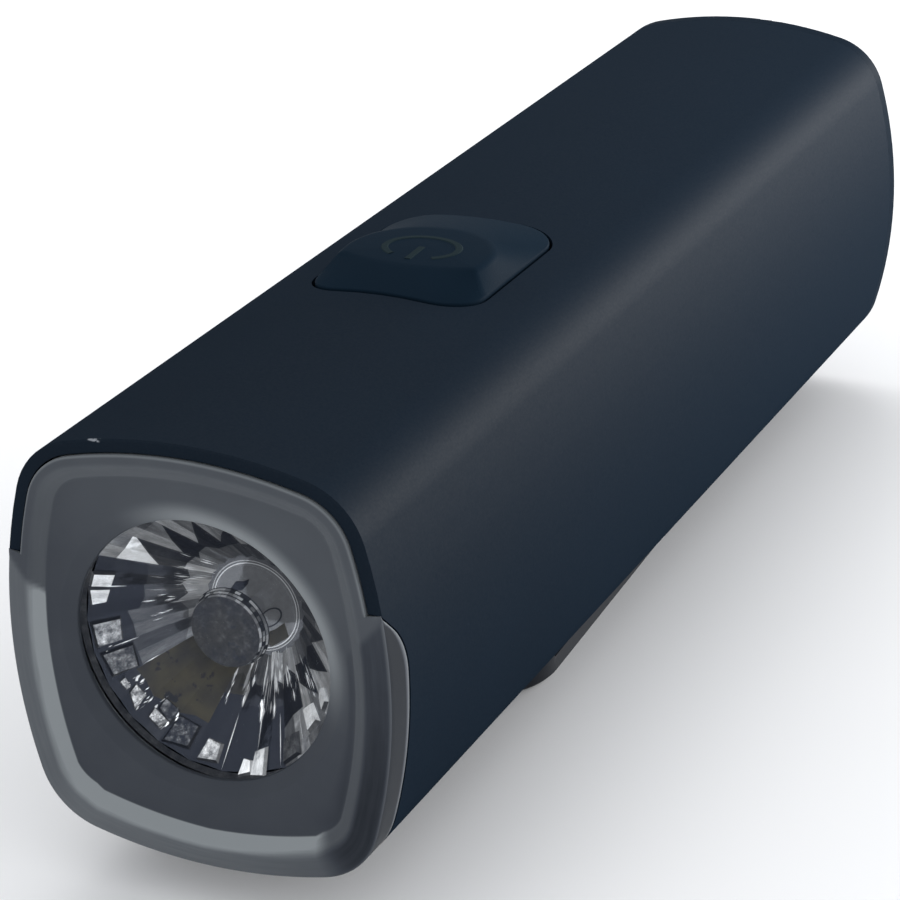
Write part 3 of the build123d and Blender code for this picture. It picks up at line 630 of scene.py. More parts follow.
def roundedPath(corners, steps, between=0):
    # a corner's last number is how far from it its rounding starts; straight runs get points between
    path = [Vector(corners[0][:-1])]
    for before, here, after in zip(corners, corners[1:], corners[2:]):
        corner = Vector(here[:-1])
        toBefore, toAfter = Vector(before[:-1]) - corner, Vector(after[:-1]) - corner
        reach = min(here[-1], 0.45 * toBefore.length, 0.45 * toAfter.length)
        start = corner + toBefore.normalized() * reach
        end = corner + toAfter.normalized() * reach
        path += [path[-1].lerp(start, (step + 1) / (between + 1)) for step in range(between)]
        for step in range(steps + 1):
            t = step / steps
            path.append(start * (1 - t) ** 2 + corner * 2 * t * (1 - t) + end * t * t)
    path.append(Vector(corners[-1][:-1]))
    return path


def arcPoints(middle, radii, start, end, steps):
    # from one angle in degrees to another
    places = []
    for step in range(steps + 1):
        angle = math.radians(start + (end - start) * step / steps)
        places.append(middle + Vector((radii[0] * math.cos(angle), radii[1] * math.sin(angle))))
    return places


def smoothstep(value, start, end):
    t = min(max((value - start) / (end - start), 0.0), 1.0)
    return t * t * (3 - 2 * t)


# Outline of the tube's section: four shallow arcs joined by rounded corners
section = {"topArc": 38.8, "sideArc": 41.1, "corner": 5.85, "arcSteps": 18, "cornerSteps": 12}
wing = {"top": 6.25, "depth": 3.1, "turn": 5.5, "seam": 0.1}


def quarterOutline(shape, cut=None):
    # from the middle of the right side up to the middle of the top: (x, rise, normal x, normal rise)
    side, top, corner, steps = (shape[key] for key in ("sideArc", "topArc", "corner", "arcSteps"))
    sideCentre, topCentre = Vector((halfWidth - side, 0)), Vector((0, halfHeight - top))
    span = topCentre - sideCentre
    along = ((side - corner) ** 2 - (top - corner) ** 2 + span.length_squared) / (2 * span.length)
    direction = span.normalized()
    across = Vector((-direction.y, direction.x)) * math.sqrt((side - corner) ** 2 - along**2)
    cornerCentre = sideCentre + direction * along + across
    toSide, toTop = cornerCentre - sideCentre, cornerCentre - topCentre
    sideEnd, topStart = math.atan2(toSide.y, toSide.x), math.atan2(toTop.y, toTop.x)
    stretches = [(sideCentre, side, 0.0, sideEnd, steps)]
    if cut:
        middle = math.asin(cut / side)
        stretches = [(sideCentre, side, 0.0, middle, steps), (sideCentre, side, middle, sideEnd, steps // 2)]
    stretches.append((cornerCentre, corner, sideEnd, topStart, shape["cornerSteps"]))
    stretches.append((topCentre, top, topStart, math.pi / 2, steps))
    points = []
    for centre, radius, start, end, count in stretches:
        for step in range(count):
            angle = start + (end - start) * step / count
            normal = Vector((math.cos(angle), math.sin(angle)))
            points.append((*(centre + normal * radius), *normal))
    return points + [(0.0, halfHeight, 0.0, 1.0)]


def fullOutline(shape, cut=None):
    upper, lower = quarterOutline(shape, cut), quarterOutline(shape)
    loop = upper[:]
    loop += [(-x, z, -nx, nz) for x, z, nx, nz in reversed(upper[:-1])]
    loop += [(-x, -z, -nx, -nz) for x, z, nx, nz in lower[1:]]
    loop += [(x, -z, nx, -nz) for x, z, nx, nz in reversed(lower[1:-1])]
    return loop


def wingDepthAt(rise, shape):
    # how far back the tube's front edge is cut at that height
    bend = shape["top"] - shape["depth"]
    tangent = shape["turn"] * math.tan(math.radians(22.5))
    if rise >= bend + tangent * math.sqrt(0.5):
        return shape["top"] - rise
    if rise <= bend - tangent:
        return shape["depth"]
    drop = rise - (bend - tangent)
    return shape["depth"] - shape["turn"] + math.sqrt(shape["turn"] ** 2 - drop**2)


lens = {
    "faceDepth": 0.47,
    "faceInset": 3.3,
    # the lip's foot on the face, its ridge and its outer edge
    "footInset": 2.94,
    "ridgeInset": 1.82,
    "ridgeDepth": -0.37,
    "outerInset": 0.03,
    "softness": 0.22,
    "widerLip": 0.55,  # how much wider the lip is at the lower corners
    "rimInset": 1.07,  # where the lens meets the inside of the tube
    "rimDepth": 1.2,
    "skirtInset": 2.2,
    "skirtEnd": 6.9,
    "back": 2.45,
    "windowRadius": 10.0,
    "windowDepth": 1.32,
    "windowEdge": 0.98,
    "shelfRadius": 10.9,
    "bevelRadius": 11.25,
    "bevelRound": 0.75,
    "steps": 5,
    "between": 4,
}
# painted light and shade in the lens's colour, from 0 to 1
lipPaintedTones = {
    "inner": 0.70,
    "innerFoot": 0.65,  # added towards the foot
    "innerBottom": 0.5,
    "outer": 0.22,
    "outerBottom": 0.08,
    "innerDim": 0.12,  # where the wings' light doesn't reach
    # painted shade, taken away at the right
    "outerShade": 0.14,
    "faceShade": 0.05,
    "wallShade": 0.34,
    # thin painted highlights by the tube's rim, at the wings' rear and along the right wing's front
    "rimHighlight": 0.34,
    "rearHighlight": 0.30,
    "frontHighlight": 0.06,
    # painted light on the window's shelf, which lies in shade
    "shelf": 0.5,
}


def paintedLipLight(tones, shape, inset, depth, z, back, inRim, sides):
    # painted light: the light that enters the wings, painted into the lip's inner slope; painted shade keeps
    # the right side darker
    toLowerLeft, toRight, atBottom = sides
    foot, ridge = shape["footInset"], shape["ridgeInset"]
    onOuter = 1 - smoothstep(inset, ridge - 0.3, ridge + 0.35)
    onInner = (1 - smoothstep(inset, foot - 0.14, foot)) * (1 - onOuter)
    nearFoot = smoothstep(inset, ridge - 0.1, foot - 0.3)
    bright = onInner * (tones["inner"] + tones["innerFoot"] * nearFoot)
    bright *= 1 + tones["innerBottom"] * atBottom
    bright += onOuter * (tones["outer"] + tones["outerBottom"] * atBottom)
    dim = onInner * tones["innerDim"]
    shade = onOuter * tones["outerShade"] + (1 - onOuter) * (1 - onInner) * tones["faceShade"]
    onWall = inset < 0.4
    if onWall and depth > 0.15:
        shade = tones["wallShade"]
    inWing = smoothstep(wing["top"] - 0.9 * inset - z, 0.0, 0.9)
    light = dim + inWing * (toLowerLeft * (bright - dim) - shade * toRight)
    if inRim:
        atRim = 1 - smoothstep(abs(inset - shape["rimInset"]), 0.05, 0.2) if depth < 0.4 else 0.0
        return max(light, tones["rimHighlight"] * atRim)
    if onWall and back > 0.5:
        light += (tones["rearHighlight"] - light) * smoothstep(depth, back - 0.3, back - 0.1)
        atFront = (1 - smoothstep(abs(depth - 0.08), 0.03, 0.14)) * toRight * (1 - toLowerLeft)
        light += (tones["frontHighlight"] - light) * atFront
    return light


def lensColumns():
    # the outline's points, with two where the wings begin, one for each side of that step
    columns = []
    for x, z, nx, nz in fullOutline(section, wing["top"]):
        if abs(z - wing["top"]) > 1e-6:
            columns.append((x, z, nx, nz, z > wing["top"]))
        else:
            order = (False, True) if x > 0 else (True, False)
            columns += [(x, z, nx, nz, inRim) for inRim in order]
    return columns


def lipProfile(shape, back, inRim, wide):
    # (inset, depth) from the face over the lip and along the skirt to the lens's back
    rim, soft = shape["rimInset"], shape["softness"]
    slope = shape["ridgeDepth"] / (shape["ridgeInset"] - shape["outerInset"])
    if inRim:
        outer = (rim, slope * (rim - shape["outerInset"]), 0.12)
        rear = (rim, shape["rimDepth"], 0.05)
        skirt = (rim, max(back, 1.6), 0.03)
    else:
        outer = (shape["outerInset"], 0.0, soft)
        rear = (shape["outerInset"], back, 0.12)
        skirt = (rim, back, 0.03)
    corners = [
        (shape["faceInset"] + wide, shape["faceDepth"], 0),
        (shape["footInset"] + wide, shape["faceDepth"], soft),
        (shape["ridgeInset"] + wide * 0.6, shape["ridgeDepth"], soft),
        outer,
        rear,
        skirt,
        (rim, shape["skirtEnd"], 0.1),
        (shape["skirtInset"], shape["skirtEnd"], 0.1),
        (shape["skirtInset"], shape["back"], 0),
    ]
    return roundedPath(corners, shape["steps"], shape["between"])


def lensColumn(shape, tones, bevel, x, z, nx, nz, inRim):
    # points from the window over the face and the lip to the window's shelf at the back, each
    # with the painted light and the inset that the finish reads
    centre, edge, normal = Vector((0, windowRise)), Vector((x, z)), Vector((nx, nz))
    direction = (edge - centre).normalized()
    back = max(wingDepthAt(z, wing) - wing["seam"], 0.05)
    wide = shape["widerLip"] * max(-nz, 0.0) * min(2 * abs(nx), 1.0)
    toLowerLeft = smoothstep(-0.8 * nx - 0.6 * nz - 0.3 * x / halfWidth, -0.35, 0.75)
    sides = (toLowerLeft, smoothstep(nx, 0.1, 0.9), smoothstep(-nz, 0.4, 0.9))
    column = []

    def add(point, depth, light=0.0, inset=shape["faceInset"]):
        column.append((spot(point.x, depth, point.y), light, inset))

    for radius, depth in bevel:
        add(centre + direction * radius, depth)
    start = centre + direction * (shape["bevelRadius"] + 0.1)
    finish = edge - normal * (shape["faceInset"] + wide)
    for share in (0.3, 0.6):
        add(start.lerp(finish, share), shape["faceDepth"])
    for inset, depth in lipProfile(shape, back, inRim, wide):
        narrowed = inset - wide * smoothstep(inset, 0.3, shape["footInset"])
        light = paintedLipLight(tones, shape, narrowed, depth, z, back, inRim, sides)
        add(edge - normal * inset, depth, light, narrowed)
    for depth in (shape["back"], shape["windowDepth"]):
        add(centre + direction * shape["shelfRadius"], depth, tones["shelf"])
    return column


def makeLens(shape, tones):
    corners = [
        (shape["windowRadius"], shape["windowDepth"], 0),
        (shape["windowRadius"], shape["windowEdge"], 0.12),
        (shape["bevelRadius"] - 0.1, shape["faceDepth"], shape["bevelRound"]),
        (shape["bevelRadius"] + 0.1, shape["faceDepth"], 0),
    ]
    bevel = roundedPath(corners, shape["steps"])
    columns = [lensColumn(shape, tones, bevel, *place) for place in lensColumns()]
    rings = len(columns[0])
    points, glow, inset = zip(*(column[ring] for ring in range(rings) for column in columns))
    # glow holds the painted light and shade of the lens's colour
    marks = {"glow": list(glow), "inset": list(inset)}
    faces = gridFaces(rings, len(columns), closeRings=True)
    piece = makePiece("lens_body", points, faces, "smoky_lens", marks=marks)
    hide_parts("front_lens")


makeLens(lens, lipPaintedTones)
print("lens made")

# Faceted optic as it shows through the window, at the depths where its surfaces appear; the tones of its
# facets are painted reflections and glints
optic = {
    "bowl": ((10.35, 2.75), (3.95, 8.9)),  # radius and depth at the rim and at the floor
    "fold": 0.16,  # how far a flute's middle stands in
    "rimEnd": 9.35,
    "lowStart": 5.4,
    "stray": (0.15, 0.35),  # how far the cuts and the low facets' starts stray
    "uneven": (0.88, 1.12),
    # flutes from the right, counter-clockwise: painted light at the rim, of the tooth, in the middle and
    # by the floor, and the radius where the tooth ends at the flute's first and last side
    "flutes": (
        (0.42, 0.42, 0.34, 0.30, 5.6, 6.8),
        (0.40, 0.40, 0.34, 0.34, 7.8, 7.8),
        (0.38, 0.40, 0.38, 0.36, 7.8, 7.8),
        (0.38, 0.40, 0.38, 0.36, 7.8, 7.8),
        (0.40, 0.41, 0.36, 0.28, 6.6, 5.8),
        (0.42, 0.42, 0.24, 0.24, 6.4, 5.6),
        (0.46, 0.44, 0.14, 0.28, 7.8, 5.8),
        (0.46, 0.47, 0.12, 0.34, 8.6, 6.2),
        (0.44, 0.52, 0.12, 0.40, 8.9, 6.2),
        (0.48, 0.98, 0.24, 0.56, 9.1, 7.0),
        (0.14, 0.18, 0.26, 0.60, 7.6, 7.3),
        (0.12, 0.10, 0.28, 0.56, 7.4, 7.6),
        (0.12, 0.12, 0.30, 0.48, 8.2, 8.0),
        (0.12, 0.14, 0.29, 0.34, 8.3, 8.3),
        (0.12, 0.14, 0.19, 0.20, 8.7, 8.8),
        (0.13, 0.14, 0.18, 0.18, 8.8, 8.6),
        (0.10, 0.12, 0.18, 0.20, 8.5, 8.2),
        (0.08, 0.09, 0.18, 0.34, 6.4, 6.2),
        (0.08, 0.07, 0.16, 0.36, 6.9, 6.9),
        (0.08, 0.07, 0.18, 0.50, 6.9, 6.9),
        (0.42, 0.42, 0.12, 0.52, 8.2, 7.6),
        (0.44, 0.48, 0.14, 0.40, 6.1, 7.9),
        (0.46, 0.56, 0.12, 0.28, 6.1, 7.9),
        (0.45, 0.50, 0.22, 0.26, 5.3, 7.0),
    ),
    "lean": 0.25,  # share by which a flute's two sides differ
    "warmMirrored": ((14, 0.9), (15, 1.0), (16, 1.0), (17, 0.5)),  # flutes whose painted reflection shows the warm wall
    # painted highlights on the flutes' edges: angle, radius at both ends and width
    "edges": (
        (165.5, 10.2, 8.3, 0.10),
        (195.5, 9.4, 7.9, 0.08),
        (209.5, 8.2, 7.3, 0.07),
        (269.6, 10.3, 7.2, 0.10),
        (285.0, 9.2, 5.4, 0.15),
        (298.0, 10.3, 7.3, 0.09),
        (312.0, 9.6, 7.9, 0.07),
    ),
    "edgeTone": 0.8,
    "sliverLift": 0.08,
    # splinters of painted light: angle, outer and inner radius, spread in degrees, count and width
    "splinters": (
        (188, 7.2, 5.8, 5, 5, 0.16),
        (170, 7.6, 4.8, 14, 18, 0.16),
        (148, 6.8, 4.6, 16, 16, 0.16),
        (205, 10.0, 9.2, 10, 9, 0.2),
        (219, 10.0, 9.0, 7, 20, 0.22),
        (235, 9.9, 8.8, 6, 18, 0.22),
        (257, 7.1, 5.3, 3, 8, 0.22),
        (271, 7.4, 4.5, 4, 14, 0.28),
        (289, 7.7, 4.2, 6, 30, 0.36),
        (303, 6.5, 4.3, 8, 18, 0.26),
        (319, 7.6, 5.6, 10, 8, 0.2),
        (334, 8.9, 6.4, 10, 9, 0.2),
    ),
    "splinterShares": (0.15, 0.5),  # length, as a share of the radii's difference
    "splinterTones": (0.6, 1.05),
    "splinterSlant": 0.05,
    "thinnest": 0.04,
    # prisms near the rim: angle, radius, width, height, painted light and mottling
    "prisms": (
        (161.5, 9.75, 1.15, 1.20, 0.80, 0.5),
        (169.5, 9.80, 1.15, 1.00, 0.72, 0.2),
        (187.3, 9.40, 1.95, 1.50, 0.46, 1.3),
        (202.7, 9.25, 1.95, 1.70, 0.32, 1.4),
        (213.0, 9.60, 0.70, 0.50, 0.60, 2.0),
        (220.0, 9.45, 1.30, 0.75, 0.62, 2.4),
        (233.5, 9.50, 1.50, 0.70, 0.50, 2.6),
        (235.0, 8.75, 1.60, 0.80, 0.24, 1.6),
        (247.5, 9.35, 1.90, 1.50, 0.24, 1.8),
        (262.7, 9.55, 1.65, 1.25, 0.58, 1.5),
        (281.3, 10.05, 0.95, 0.95, 0.78, 0.1),
        (287.3, 9.80, 1.35, 1.60, 0.66, 0.3),
        (304.5, 9.60, 1.70, 1.40, 0.34, 0.6),
        (321.5, 8.75, 1.35, 1.50, 0.92, 1.0),
        (333.5, 8.70, 0.90, 0.90, 0.78, 0.8),
    ),
    "prismTop": 0.84,  # size of a prism's top
    "prismRise": 0.30,
    "prismWear": 0.19,  # how far a prism's corners stray
    "prismSides": (0.45, 0.95, 0.7, 0.3),  # painted light and shade of the bevels round a prism
    "prismSideMottle": 0.3,
    "rim": ((10.35, 2.75), (10.85, 2.6)),
    "rimTone": 0.26,
    "backing": 0.45,
    "backingTone": 0.05,
    "backingSteps": 48,
    "roundSteps": 96,
    # post in the middle, all as radius and depth
    "postFace": (2.75, 4.4),
    "postTone": 0.15,
    "gapTone": 0.10,
    # from the foot over its ledge and the neck to the floor, and the painted light between them
    "postProfile": ((3.05, 5.3), (2.8, 5.4), (0.9, 5.6), (0.8, 8.85)),
    "postTones": (0.46, 0.38, 0.38),
    "postFaceWarm": 0.35,
    "postFaceMottle": 1.1,
    "postRings": (0.45, 0.8, 1.0),
    "knurls": 46,
    "knurlRows": 3,
    "knurlLength": 0.68,  # share of a row
    "knurlTones": (0.62, 0.50, 0.42, 0.20),
    # thin painted highlights at the floor's edge: radius and light
    "floorRings": ((3.3, 0.41), (3.38, 0.66), (3.5, 0.36), (3.58, 0.56), (3.95, 0.33)),
    # marks on the floor, as (angle, radius)
    "nick": ((158, 2.25), (134, 1.45), (106, 1.75), (100, 2.1), (115, 2.0), (131, 2.25)),
    "nickTone": 0.10,
    "gatePlace": (1.22, -0.72),
    "gateSize": (1.15, 0.62),
    "gateTilt": 42,
    "gateRing": 0.84,
    "gateTone": 0.17,
    "gateSteps": 28,
    "warmPatch": ((276, 2.3), (290, 3.3), (322, 3.3), (338, 2.5), (312, 2.2)),
    "warmPatchTones": (0.3, 0.8),  # light and warmth
    "markRise": 0.03,
    "seed": 7,
}


class FacetList:
    # flat faces, each with a tone of painted reflected light, a share of painted warm reflection and an
    # amount of mottling
    def __init__(self):
        self.points, self.faces = [], []
        self.marks = {"tone": [], "warm": [], "mottle": []}

    def add(self, corners, tone, warm=0.0, mottle=0.0):
        # corners are (angle in radians, radius, depth)
        start = len(self.points)
        for angle, radius, depth in corners:
            self.points.append(spot(math.cos(angle) * radius, depth, windowRise + math.sin(angle) * radius))
        self.faces.append(tuple(range(start, start + len(corners))))
        for name, value in (("tone", tone), ("warm", warm), ("mottle", mottle)):
            self.marks[name] += [value] * len(corners)

    def band(self, outer, inner, steps, tone, chance=None, **marks):
        # quads between two circles (radius, depth); chance picks one of several tones
        for step in range(steps):
            start, end = math.tau * step / steps, math.tau * (step + 1) / steps
            corners = [(start, *outer), (end, *outer), (end, *inner), (start, *inner)]
            self.add(corners, chance.choice(tone) if chance else tone, **marks)


def bowlPoint(shape, turn, radius, lift=0.0):
    # turn is counted in flutes; a whole number is a ridge between two of them
    (rimRadius, rimDepth), (floorRadius, floorDepth) = shape["bowl"]
    slope = (floorDepth - rimDepth) / (rimRadius - floorRadius)
    fold = 4 * (turn % 1) * (1 - turn % 1) * shape["fold"]
    angle = math.tau * turn / len(shape["flutes"])
    return angle, radius - fold - lift * 0.7, rimDepth + (rimRadius - radius) * slope - lift * 0.7


def makeFlutes(shape, facets, chance):
    warmShares = dict(shape["warmMirrored"])
    rim, floor = shape["bowl"][0][0], shape["bowl"][1][0]
    cutStray, lowStray = shape["stray"]
    dimmest, brightest = shape["uneven"]
    for flute, (rimTone, tooth, middle, low, firstCut, lastCut) in enumerate(shape["flutes"]):
        middleCut = (firstCut + lastCut) / 2 + chance.uniform(-cutStray, cutStray)
        cuts = (firstCut, middleCut, lastCut)
        shifts = [chance.uniform(-lowStray, lowStray) for place in range(3)]
        for half in range(2):
            turns = (flute + half / 2, flute + (half + 1) / 2)
            lows = [min(shape["lowStart"] + shifts[i], cuts[i] - 0.2) for i in (half, half + 1)]
            rimEnds = (shape["rimEnd"], shape["rimEnd"])
            radii = ((rim, rim), rimEnds, (cuts[half], cuts[half + 1]), lows, (floor, floor))
            lean = 1 + shape["lean"] * (half - 0.5) * (-1 if firstCut < lastCut else 1)
            for ring, tone in enumerate((rimTone, tooth, middle, low)):
                (outFirst, outLast), (inFirst, inLast) = radii[ring : ring + 2]
                places = zip((*turns, *turns[::-1]), (outFirst, outLast, inLast, inFirst))
                corners = [bowlPoint(shape, *place) for place in places]
                warm = warmShares.get(flute, 0.0) if ring >= 2 else 0.0
                facets.add(corners, tone * lean * chance.uniform(dimmest, brightest), warm)


def addSliver(shape, facets, turn, outer, inner, width, tone, slant=0.0):
    perRadius = len(shape["flutes"]) / math.tau
    reach = width / 2 / outer * perRadius
    middle = (outer + inner) / 2
    turns = (turn, turn + reach, turn + slant, turn + slant - reach * 0.6)
    radii = (outer, middle, inner, middle)
    facets.add([bowlPoint(shape, *place, shape["sliverLift"]) for place in zip(turns, radii)], tone)


def makeSlivers(shape, facets, chance):
    # painted highlights on the flutes' edges and splinters of painted light between them
    perFlute = 360 / len(shape["flutes"])
    for angle, outer, inner, width in shape["edges"]:
        addSliver(shape, facets, angle / perFlute, outer, inner, width, shape["edgeTone"])
    for angle, outer, inner, spread, count, widest in shape["splinters"]:
        for sliver in range(count):
            turn = (angle + chance.uniform(-spread, spread)) / perFlute
            start = chance.uniform(inner, outer)
            end = start - chance.uniform(*shape["splinterShares"]) * (outer - inner)
            width = chance.uniform(shape["thinnest"], widest)
            tone = chance.uniform(*shape["splinterTones"])
            slant = chance.uniform(-shape["splinterSlant"], shape["splinterSlant"])
            addSliver(shape, facets, turn, start, end, width, tone, slant)


def makePrisms(shape, facets, chance):
    perFlute = 360 / len(shape["flutes"])
    wear, levels = shape["prismWear"], ((1.0, 0.0), (shape["prismTop"], shape["prismRise"]))
    for angle, radius, width, height, light, mottle in shape["prisms"]:
        base, top = [], []
        for side, out in ((-1, 1), (1, 1), (1, -1), (-1, -1)):
            strayX, strayY = (chance.uniform(-1, 1) * wear for direction in range(2))
            for corners, (size, lift) in zip((base, top), levels):
                turned = angle + math.degrees((side * size * width / 2 + strayX) / radius)
                place = radius + out * size * height / 2 + strayY
                corners.append(bowlPoint(shape, turned / perFlute, place, lift))
        facets.add(top, light, mottle=mottle)
        for side, share in enumerate(shape["prismSides"]):
            after = (side + 1) % 4
            corners = [base[side], base[after], top[after], top[side]]
            facets.add(corners, light * share, mottle=shape["prismSideMottle"])


def makePost(shape, facets, chance):
    face, profile = shape["postFace"], shape["postProfile"]
    steps, rows = shape["knurls"], shape["knurlRows"]
    rings = [0.001] + [face[0] * share for share in shape["postRings"]]
    look = {"warm": shape["postFaceWarm"], "mottle": shape["postFaceMottle"]}
    for inner, outer in zip(rings, rings[1:]):
        facets.band((outer, face[1]), (inner, face[1]), steps, shape["postTone"], **look)
    for row in range(rows):
        shares = (row / rows, (row + shape["knurlLength"]) / rows, (row + 1) / rows)
        ends = [tuple(a + (b - a) * share for a, b in zip(face, profile[0])) for share in shares]
        facets.band(ends[0], ends[1], steps, shape["knurlTones"], chance, mottle=0.3)
        facets.band(ends[1], ends[2], steps, shape["gapTone"])
    for start, end, tone in zip(profile, profile[1:], shape["postTones"]):
        facets.band(start, end, steps, tone)


def makeFloor(shape, facets):
    # floor of the bowl, with thin painted highlight rings at its edge, a nick, a gate mark and a warm patch
    depth = shape["bowl"][1][1]
    inner = 0.001
    for radius, tone in shape["floorRings"]:
        facets.band((radius, depth), (inner, depth), shape["roundSteps"], tone, mottle=0.12)
        inner = radius
    raised = depth - shape["markRise"]
    nick = [(math.radians(angle), radius, raised) for angle, radius in shape["nick"]]
    warmPatch = [(math.radians(angle), radius, raised) for angle, radius in shape["warmPatch"]]
    facets.add(nick, shape["nickTone"])
    facets.add(warmPatch, *shape["warmPatchTones"])
    turned, middle = Matrix.Rotation(math.radians(shape["gateTilt"]), 2), Vector(shape["gatePlace"])
    outline = arcPoints(Vector((0, 0)), shape["gateSize"], 0, 360, shape["gateSteps"])
    rings = []
    for size in (1, shape["gateRing"]):
        ring = [middle + turned @ point * size for point in outline]
        rings.append([(math.atan2(point.y, point.x), point.length, raised) for point in ring])
    outer, inner = rings
    for step in range(shape["gateSteps"]):
        facets.add([outer[step], outer[step + 1], inner[step + 1], inner[step]], shape["gateTone"])


def makeOptic(shape):
    chance = random.Random(shape["seed"])
    facets = FacetList()
    makeFlutes(shape, facets, chance)
    makeSlivers(shape, facets, chance)
    behind = [(radius, depth + shape["backing"]) for radius, depth in shape["bowl"]]
    facets.band(*behind, shape["backingSteps"], shape["backingTone"])
    facets.band(shape["rim"][1], shape["rim"][0], shape["roundSteps"], shape["rimTone"], mottle=0.6)
    makePrisms(shape, facets, chance)
    makePost(shape, facets, chance)
    makeFloor(shape, facets)
    look = {"smooth": False, "marks": facets.marks, "closed": False}
    piece = makePiece("optic_facets", facets.points, facets.faces, "clear_optic", **look)
    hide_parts("collimator")


makeOptic(optic)
print("optic made")

# Soft button: an edge that follows the tube, sloping sides and a raised pad
button = {
    "centre": 40.1,
    "halfWidth": 7.05,
    "halfLength": 9.15,
    "corner": 3.35,
    "edge": 0.12,  # above the tube
    "edgeRound": 0.16,
    "padTop": 17.75,
    "padCentre": 37.2,
    "padHalfWidth": 6.0,
    "padHalfLength": 5.8,
    "padFront": 34.3,
    "padStart": -18,  # degrees, where the pad's round rear meets its front
    "round": 0.45,
    "crown": 0.10,
    "innerShare": 0.96,  # the flat top's edge, on the way to the pad's middle
    "steps": 5,
    "flangeTop": 14.75,
    "flangeReach": 0.8,
    "flangeLow": 13.4,
    "flangeRound": 0.1,
    "stemRadius": 1.6,
    "stemLow": 12.65,
    "stemRound": 0.05,
    "frontPoints": 36,
    "rearPoints": 84,
}


def evenly(path, count):
    # points at equal steps along a path, without its last one
    lengths = [0.0]
    for before, after in zip(path, path[1:]):
        lengths.append(lengths[-1] + (after - before).length)
    places, index = [], 0
    for step in range(count):
        target = lengths[-1] * step / count
        while index < len(path) - 2 and lengths[index + 1] < target:
            index += 1
        stretch = lengths[index + 1] - lengths[index]
        share = (target - lengths[index]) / stretch if stretch else 0.0
        places.append(path[index].lerp(path[index + 1], share))
    return places


def keyOutline(shape, grow=0.0):
    # front stretch from the left side round the front corners to the right side, then the rear one
    halfX, halfY, corner = (shape[key] + grow for key in ("halfWidth", "halfLength", "corner"))
    stretches = {-1: [], 1: []}
    for side, end, start in ((-1, -1, 180), (1, -1, 270), (1, 1, 0), (-1, 1, 90)):
        middle = Vector((side * (halfX - corner), shape["centre"] + end * (halfY - corner)))
        stretches[end] += arcPoints(middle, (corner, corner), start, start + 90, 12)
    front = stretches[-1]
    rear = [front[-1]] + stretches[1] + [front[0]]
    return evenly(front, shape["frontPoints"]) + evenly(rear, shape["rearPoints"])


def padOutline(shape):
    start, radii = shape["padStart"], (shape["padHalfWidth"], shape["padHalfLength"])
    rear = arcPoints(Vector((0, shape["padCentre"])), radii, start, 180 - start, 60)
    chord, sag = rear[0].x, rear[0].y - shape["padFront"]
    bend = (chord**2 + sag**2) / (2 * sag)
    spread = math.degrees(math.asin(chord / bend))
    bendMiddle = Vector((0, shape["padFront"] + bend))
    front = arcPoints(bendMiddle, (bend, bend), -90 - spread, -90 + spread, 24)
    return evenly(front, shape["frontPoints"]) + evenly(rear, shape["rearPoints"])


def tubeTop(x):
    return halfHeight - section["topArc"] + math.sqrt(section["topArc"] ** 2 - x**2)


def makeButton(shape):
    flange, flangeRound = keyOutline(shape, shape["flangeReach"]), shape["flangeRound"]
    stemMiddle = Vector((0, shape["centre"]))
    padMiddle = Vector((0, (shape["padFront"] + shape["padCentre"] + shape["padHalfLength"]) / 2))
    rows = []
    for edge, onPad, wide in zip(keyOutline(shape), padOutline(shape), flange):
        stem = stemMiddle + (edge - stemMiddle).normalized() * shape["stemRadius"]
        inner = onPad.lerp(padMiddle, shape["innerShare"])
        flangeTop = shape["flangeTop"] + tubeTop(wide.x) - halfHeight
        profile = [
            (stem.x, shape["stemLow"], stem.y, 0.0),
            (stem.x, shape["flangeLow"], stem.y, shape["stemRound"]),
            (wide.x, shape["flangeLow"], wide.y, flangeRound),
            (wide.x, flangeTop, wide.y, flangeRound),
            (edge.x, flangeTop, edge.y, flangeRound),
            (edge.x, tubeTop(edge.x) + shape["edge"], edge.y, shape["edgeRound"]),
            (onPad.x, shape["padTop"] - shape["crown"], onPad.y, shape["round"]),
            (inner.x, shape["padTop"], inner.y, 0.0),
        ]
        rows.append(roundedPath(profile, shape["steps"]))
    rings, columns = len(rows[0]), len(rows)
    points = [spot(row[ring].x, row[ring].z, row[ring].y) for ring in range(rings) for row in rows]
    faces = gridFaces(rings, columns)
    faces += [tuple(range(columns)), tuple(range((rings - 1) * columns, rings * columns))]
    piece = makePiece("button_top", points, faces, "button_silicone", "button")
    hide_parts("power_button")


makeButton(button)

# Power symbol, a shallow raised line on the pad
symbol = {
    "radius": 2.5,
    "stretch": (1.2, 0.94),  # across the tube and along it
    "line": 0.6,
    "bar": 2.8,
    "opening": 70,
    "centre": 38.1,
    "height": 0.06,
    # the line's section: shares of its half width and of its height
    "section": ((-1.0, -0.06), (-0.7, 1.0), (0.7, 1.0), (1.0, -0.06)),
    # where the pad is highest, and how far from there its crown has fallen
    "padMiddle": 38.6,
    "padReach": 4.3,
    "arcSteps": 48,
    "barSteps": 10,
}


